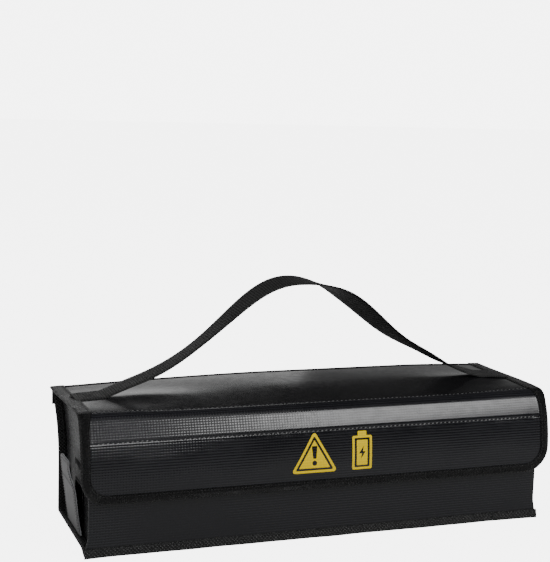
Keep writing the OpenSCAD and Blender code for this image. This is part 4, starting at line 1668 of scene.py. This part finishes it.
@dataclass
class Handle:
    """The webbing handle: one strap from edge to edge of the lid, sewn at both ends.

    At even places from -180 to 180 mm, lifts are heights in mm and turns are degrees.
    """

    shop: Workshop
    sizes: BagSizes
    roof: Roof
    width: float = 30.0 * MM
    thick: float = 1.8 * MM
    rib: float = 2.6 * MM
    sewn: float = 22.0 * MM
    lifts: tuple = (5.3, 0.3, -0.5, 8.4, -0.9, -3.8, -9.0, 5.2, 0.5)
    turns: tuple = (-0.4, 1.0, -3.4, 3.0, 7.5, 5.8, -18.1, -14.1, -5.0, -4.7, 5.2)

    def centre_line(self, x: np.ndarray) -> np.ndarray:
        """The strap's middle line.

        Its height above the lid is a raised cosine between the sewn ends plus a row of
        bells, its top leans a little to the right, and it runs slightly askew.

        Args:
            x: places along the bag before the lean.

        Returns:
            One point for each place.
        """
        z = self.sizes
        low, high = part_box("handle_strap")
        rise = high.z - z.lid_top - self.thick
        half = z.lid_tape_x - z.tape_t - self.sewn
        t = np.clip(x / half, -1, 1)
        lean = 7.7 * MM * (1 - t * t) ** 3
        height = 0.985 * rise * (1 + np.cos(math.pi * t)) / 2
        places = np.linspace(-180, 180, len(self.lifts)) * MM
        for lift, place in zip(self.lifts, places):
            height = height + lift * MM * bell(x, place, 42 * MM) * (1 - t ** 12)
        y = (low.y + high.y) / 2 + (5.0 * (1 - smooth((t + 1) / 1.6)) + 2.8 * smooth(t)) * MM
        back = z.shoulder_y - y
        base = self.roof.surface(x + lean, back)[..., 2]
        level = base + self.thick / 2 + 0.25 * MM
        zz = level + (z.lid_top + self.thick / 2 - level) * smooth(height / (20 * MM)) + height
        return stacked(x + lean, y, zz)

    def roll(self, x: np.ndarray) -> np.ndarray:
        """Turn about its own line, as a row of bells: to the front, then to the back.

        Args:
            x: places along the bag.

        Returns:
            The turn in radians.
        """
        places = np.linspace(-180, 180, len(self.turns)) * MM
        turn = sum(a * bell(x, c, 32 * MM) for a, c in zip(self.turns, places))
        return np.radians(turn) * (1 - smooth((np.abs(x) - 190 * MM) / (12 * MM)))

    def frame_at(self, x: np.ndarray) -> tuple:
        """The strap's line with its width and normal directions.

        Args:
            x: places along the bag, in order.

        Returns:
            Points, width directions and normals.
        """
        line = self.centre_line(x)
        t = tangents(line)
        across = unit(-FRONT - t * t[:, 1:2])
        up = np.cross(t, across)
        c, s = np.cos(self.roll(x))[:, None], np.sin(self.roll(x))[:, None]
        return line, c * across + s * up, c * up - s * across

    def build(self) -> None:
        """Makes the strap and its stitches."""
        shop, z = self.shop, self.sizes
        end = z.lid_tape_x + 4 * MM
        rough = np.linspace(-end, end, 4001)
        s = arc_length(self.centre_line(rough))
        count = int(s[-1] / (self.rib / 6))
        x = np.interp(np.linspace(0, s[-1], count), s, rough)
        line, across, up = self.frame_at(x)
        w, t = self.width / 2, self.thick / 2
        a = np.array([-1, -0.97, -0.8, -0.4, 0.0, 0.4, 0.8, 0.97, 1]) * w
        b = np.array([0.1, 0.75, 1.0, 0.96, 1.0, 0.96, 1.0, 0.75, 0.1]) * t
        shape = np.concatenate([stacked(a, -b), stacked(a, b)[::-1]])
        along = arc_length(line)
        ribs = 0.80 + 0.20 * np.abs(np.sin(math.pi * along / self.rib))
        patch = sweep_patch(line, across, up, shape, scale=ribs)
        patch.uv = patch.uv[:, ::-1]
        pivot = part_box("handle_strap")[0].z
        strap = shop.make("handle_webbing", patch, "webbing", "lid handle", "webbing",
                          ("handle_strap", "handle_left_root", "handle_right_root"),
                          ((0, 0, z.lid_top + 1.5 * MM), (0, 0, pivot + 1 * MM)), 75)
        self.build_box_stitches()

    def build_box_stitches(self) -> None:
        """A sewn box with a cross through it on each end of the strap."""
        shop, z = self.shop, self.sizes
        rows = []
        start = z.lid_tape_x - 1.5 * MM
        finish = start - self.sewn * 0.85
        w = self.width / 2 - 3 * MM
        for side in (-1, 1):
            corners = [(side * start, -w), (side * finish, -w), (side * finish, w),
                       (side * start, w)]
            for loop in (corners + corners[:1], corners[::2], corners[1::2]):
                s = arc_length(np.array(loop))
                px, pa = sampled(np.linspace(0, s[-1], 60), s, np.array(loop)).T
                order = np.argsort(px)
                back = np.argsort(order)
                line, across, up = (part[back] for part in self.frame_at(px[order]))
                row = line + across * pa[:, None] + up * (self.thick / 2)
                rows.append(stitch_patch(row, up, pitch=2.6 * MM, length=1.9 * MM))
        shop.make("handle_stitches", sum(rows[1:], rows[0]), "fine_thread", "lid", "webbing")


# ---------------------------------------------------------------- port cover


@dataclass
class PortCover:
    """The tab over the cable port: two layers, a loop strip and its stitches."""

    shop: Workshop
    sizes: BagSizes
    seam: float = 0.70  # height of the cross seam, as a share of the tab's

    def place(self, a: np.ndarray, h: np.ndarray, depth: float) -> np.ndarray:
        """Points of the tab at width a and height h, at a depth behind its outer face.

        The tab is a plane that leans out from its foot; its front upper corner curls out
        by the product of two smooth ramps, and its free edge bows.

        Args:
            a, h: width from the middle and height from the foot.
            depth: distance behind the outer face.

        Returns:
            The points.
        """
        joint = next(j for j in frame["joints"] if j["name"] == "port_cover_hinge")
        foot_x, mid_y, foot_z = joint["pos_m"]
        low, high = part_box("port_cover")
        tall = high.z - foot_z
        lean = math.atan2(foot_x - low.x, tall)
        front = smooth((-a - 4 * MM) / (24 * MM)) * smooth((h - 0.62 * tall) / (0.38 * tall))
        bow = 0.9 * MM * np.sin(math.pi * np.clip(h / tall, 0, 1)) + 0.4 * MM * waves(
            a, h, 45 * MM, 91)
        out = h * math.tan(lean) * 0.92 + 4.2 * MM * front + bow * smooth(h / (12 * MM)) - depth
        return stacked(foot_x - out, mid_y + a, foot_z + h)

    def build(self) -> None:
        """Makes every piece of the port cover."""
        shop, z = self.shop, self.sizes
        low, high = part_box("port_cover")
        half, tall = (high.y - low.y) / 2, high.z - low.z
        r = 9 * MM
        a = crowded(half, r, 9, 33)
        h = np.linspace(0, 1, 49)[None] * round_edge(a, half, tall, r)[:, None]
        foot = Vector(self.place(np.zeros(1), np.zeros(1), 0.0)[0])
        span = (foot - Vector((0, 0, 1 * MM)), foot + Vector((0, 0, 5 * MM)))
        groove = 0.35 * MM * bell(h, self.seam * tall, 0.8 * MM)
        # the tab's outer cloth takes the tab finish, whose light grey is a painted reflection of the
        # floor
        for name, depth, thick, finish, slot, node in (
                ("port_tab_cloth", 0.0, z.cloth_t, "tab", "coated_cloth", "port_cover"),
                ("port_tab_lining", z.cloth_t, z.lining_t, "lining", "fireproof_lining",
                 "port_cover_lining")):
            points = self.place(a[:, None], h, depth + 0.02 * MM)
            points[..., 0] += groove if depth == 0.0 else 0.0
            patch = sheet_patch(points, LEFT, thick * 0.95, stacked(a[:, None], h))
            sheet = shop.make(name, patch, finish, "tub cover", slot, (node,), span)
        low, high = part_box("port_loop_strip")
        a2 = np.linspace(-(high.y - low.y) / 2, (high.y - low.y) / 2, 25)
        h2 = np.linspace(low.z, high.z, 11) - foot.z
        points = self.place(a2[:, None], h2[None], z.cloth_t + z.lining_t)
        patch = sheet_patch(points, LEFT, 0.8 * MM, stacked(a2[:, None], h2))
        tape = shop.make("port_loop_tape", patch, "loops", "cover", "loop_tape",
                         ("port_loop_strip",))
        self.build_stitches(half, tall, span)

    def build_stitches(self, half: float, tall: float, span: tuple) -> None:
        """A row just inside the tab's border and one across it below the loop strip.

        Args:
            half, tall: half of the tab's width, and its height.
            span: handed on to Workshop.make for the pieces on tub and tab.
        """
        inset = 3 * MM
        corners = [(-half + inset, 2 * MM), (-half + inset, tall - inset),
                   (half - inset, tall - inset), (half - inset, 2 * MM)]
        border = rounded_path(corners, 7 * MM, 1.5 * MM)
        across = stacked(np.linspace(-half + inset, half - inset, 40), self.seam * tall)
        up = np.array([-1.0, 0.0, 0.12])
        rows = [stitch_patch(self.place(line[:, 0], line[:, 1], -0.05 * MM), up, pitch=2.8 * MM,
                             length=1.9 * MM) for line in (border, across)]
        self.shop.make("port_tab_stitches", rows[0] + rows[1], "fine_thread", "tub cover",
                       "coated_cloth", (), span)


# ---------------------------------------------------------------- stage


@dataclass(frozen=True)
class Studio:
    """Camera, floor, world and soft lights."""

    place: tuple = (-0.46725, -1.17955, 0.42100)
    aim: tuple = (-0.03116, 0.0, 0.23418)
    roll_deg: float = 1.83
    lens: float = 85.0
    backdrop: float = 6.0
    ambient: float = 0.42
    gleam: float = 0.03

    def camera(self) -> None:
        """A camera at the viewing angle, turned slightly about its own line of sight."""
        data = bpy.data.cameras.new("camera")
        data.lens, data.sensor_width = self.lens, 36.0
        obj = bpy.data.objects.new("camera", data)
        bpy.context.scene.collection.objects.link(obj)
        forward = (Vector(self.aim) - Vector(self.place)).normalized()
        right = forward.cross(Vector((0, 0, 1))).normalized()
        up = right.cross(forward)
        c, s = math.cos(math.radians(self.roll_deg)), math.sin(math.radians(self.roll_deg))
        x, y = right * c + up * s, up * c - right * s
        obj.matrix_world = Matrix((
            (x.x, y.x, -forward.x, self.place[0]), (x.y, y.y, -forward.y, self.place[1]),
            (x.z, y.z, -forward.z, self.place[2]), (0, 0, 0, 1)))
        data.clip_start, data.clip_end = 0.01, 50
        bpy.context.scene.camera = obj

    def floor(self) -> None:
        """A wide pale floor, as bright to the eye as the surround it meets far away."""
        mesh = bpy.data.meshes.new("floor")
        r = 12.0
        mesh.from_pydata([(-r, -r, 0), (r, -r, 0), (r, r, 0), (-r, r, 0)], [], [(0, 1, 2, 3)])
        obj = bpy.data.objects.new("floor", mesh)
        obj.location.z = -0.0002
        bpy.context.scene.collection.objects.link(obj)
        material = bpy.data.materials.new("floor")
        material.use_nodes = True
        shader = material.node_tree.nodes["Principled BSDF"]
        shader.inputs["Base Color"].default_value = (0.45, 0.45, 0.45, 1)
        shader.inputs["Roughness"].default_value = 0.9
        shader.inputs["Specular IOR Level"].default_value = 0.1
        shader.inputs["Emission Color"].default_value = (1, 1, 1, 1)
        w = Wiring(material.node_tree)
        seen = w.math("MULTIPLY", w.add("LightPath").outputs["Is Camera Ray"], 0.9 * self.backdrop)
        material.node_tree.links.new(seen, shader.inputs["Emission Strength"])
        mesh.materials.append(material)

    def world(self) -> None:
        """A pale surround that lights softly and is dim in reflections."""
        world = bpy.data.worlds.new("world")
        world.use_nodes = True
        w = Wiring(world.node_tree)
        world.node_tree.nodes.clear()
        path = w.add("LightPath")
        soft = w.math("MULTIPLY_ADD", path.outputs["Is Glossy Ray"], self.gleam - self.ambient,
                      self.ambient)
        level = w.math("MULTIPLY_ADD", path.outputs["Is Camera Ray"],
                       self.backdrop - self.ambient, soft)
        back = w.add("Background", {"Color": (1, 1, 1, 1), "Strength": level})
        w.add("OutputWorld", {"Surface": back.outputs[0]})
        bpy.context.scene.world = world

    @staticmethod
    def card(name: str, azimuth: tuple, elevation: tuple, distance: float, radiance: float,
             mirrored: bool = True, lights: bool = False) -> None:
        """A rectangular soft light on a sphere around the bag.

        Args:
            name: the light's name.
            azimuth: its left and right limits in degrees, from -Y towards +X.
            elevation: its lower and upper limits in degrees.
            distance: metres from the bag's front edge.
            radiance: brightness of its face; the power is radiance * pi * area.
            mirrored: whether the glossy cloth shows it.
            lights: whether it lights matt surfaces.
        """
        centre = Vector((0.0, -0.07, 0.114))
        az, el = (math.radians(sum(pair) / 2) for pair in (azimuth, elevation))
        toward = Vector((math.sin(az) * math.cos(el), -math.cos(az) * math.cos(el), math.sin(el)))
        width, height = (2 * distance * math.tan(math.radians(b - a) / 2)
                         for a, b in (azimuth, elevation))
        data = bpy.data.lights.new(name, "AREA")
        data.shape = "RECTANGLE"
        data.size, data.size_y = width * math.cos(el), height
        data.energy = radiance * math.pi * data.size * height
        obj = bpy.data.objects.new(name, data)
        obj.location = centre + toward * distance
        obj.rotation_euler = (-toward).to_track_quat("-Z", "Y").to_euler()
        obj.visible_glossy = mirrored
        obj.visible_diffuse = lights
        obj.visible_camera = False
        bpy.context.scene.collection.objects.link(obj)

    def lights(self) -> None:
        """Strips that the shoulder and the lid reflect, and soft fills that they do not."""
        self.card("front_strip", (21, 50), (23.5, 36), 2.6, 9.0)
        self.card("front_strip_left", (-6, 21), (23.5, 36), 2.6, 9.8)
        self.card("back_card", (159, 196), (-1, 14.5), 3.0, 0.75)
        self.card("back_card_right", (125, 159), (-1, 13.0), 3.0, 0.25)
        self.card("key", (-60, 60), (30, 75), 2.6, 2.1, mirrored=False, lights=True)
        self.card("left_fill", (-130, -70), (10, 50), 2.6, 0.8, lights=True)
        self.card("rear_fill", (150, 210), (30, 60), 2.6, 0.6, mirrored=False, lights=True)

    def build(self) -> None:
        """Makes the whole stage."""
        self.camera()
        self.floor()
        self.world()
        self.lights()


def main() -> None:
    """Builds the stage and then each sub-assembly in order."""
    logging.basicConfig(level=logging.INFO, format="%(name)s: %(message)s")
    Studio().build()
    shop = Workshop()
    sizes = BagSizes.from_frame()
    roof = Roof(sizes, RoofLine(sizes.shoulder_y, sizes.lid_top, sizes.foot_z))
    Tub(shop, sizes).build()
    Lid(shop, sizes, roof).build()
    Flap(shop, sizes, roof).build()
    Handle(shop, sizes, roof).build()
    PortCover(shop, sizes).build()


if __name__ == "__main__":
    main()
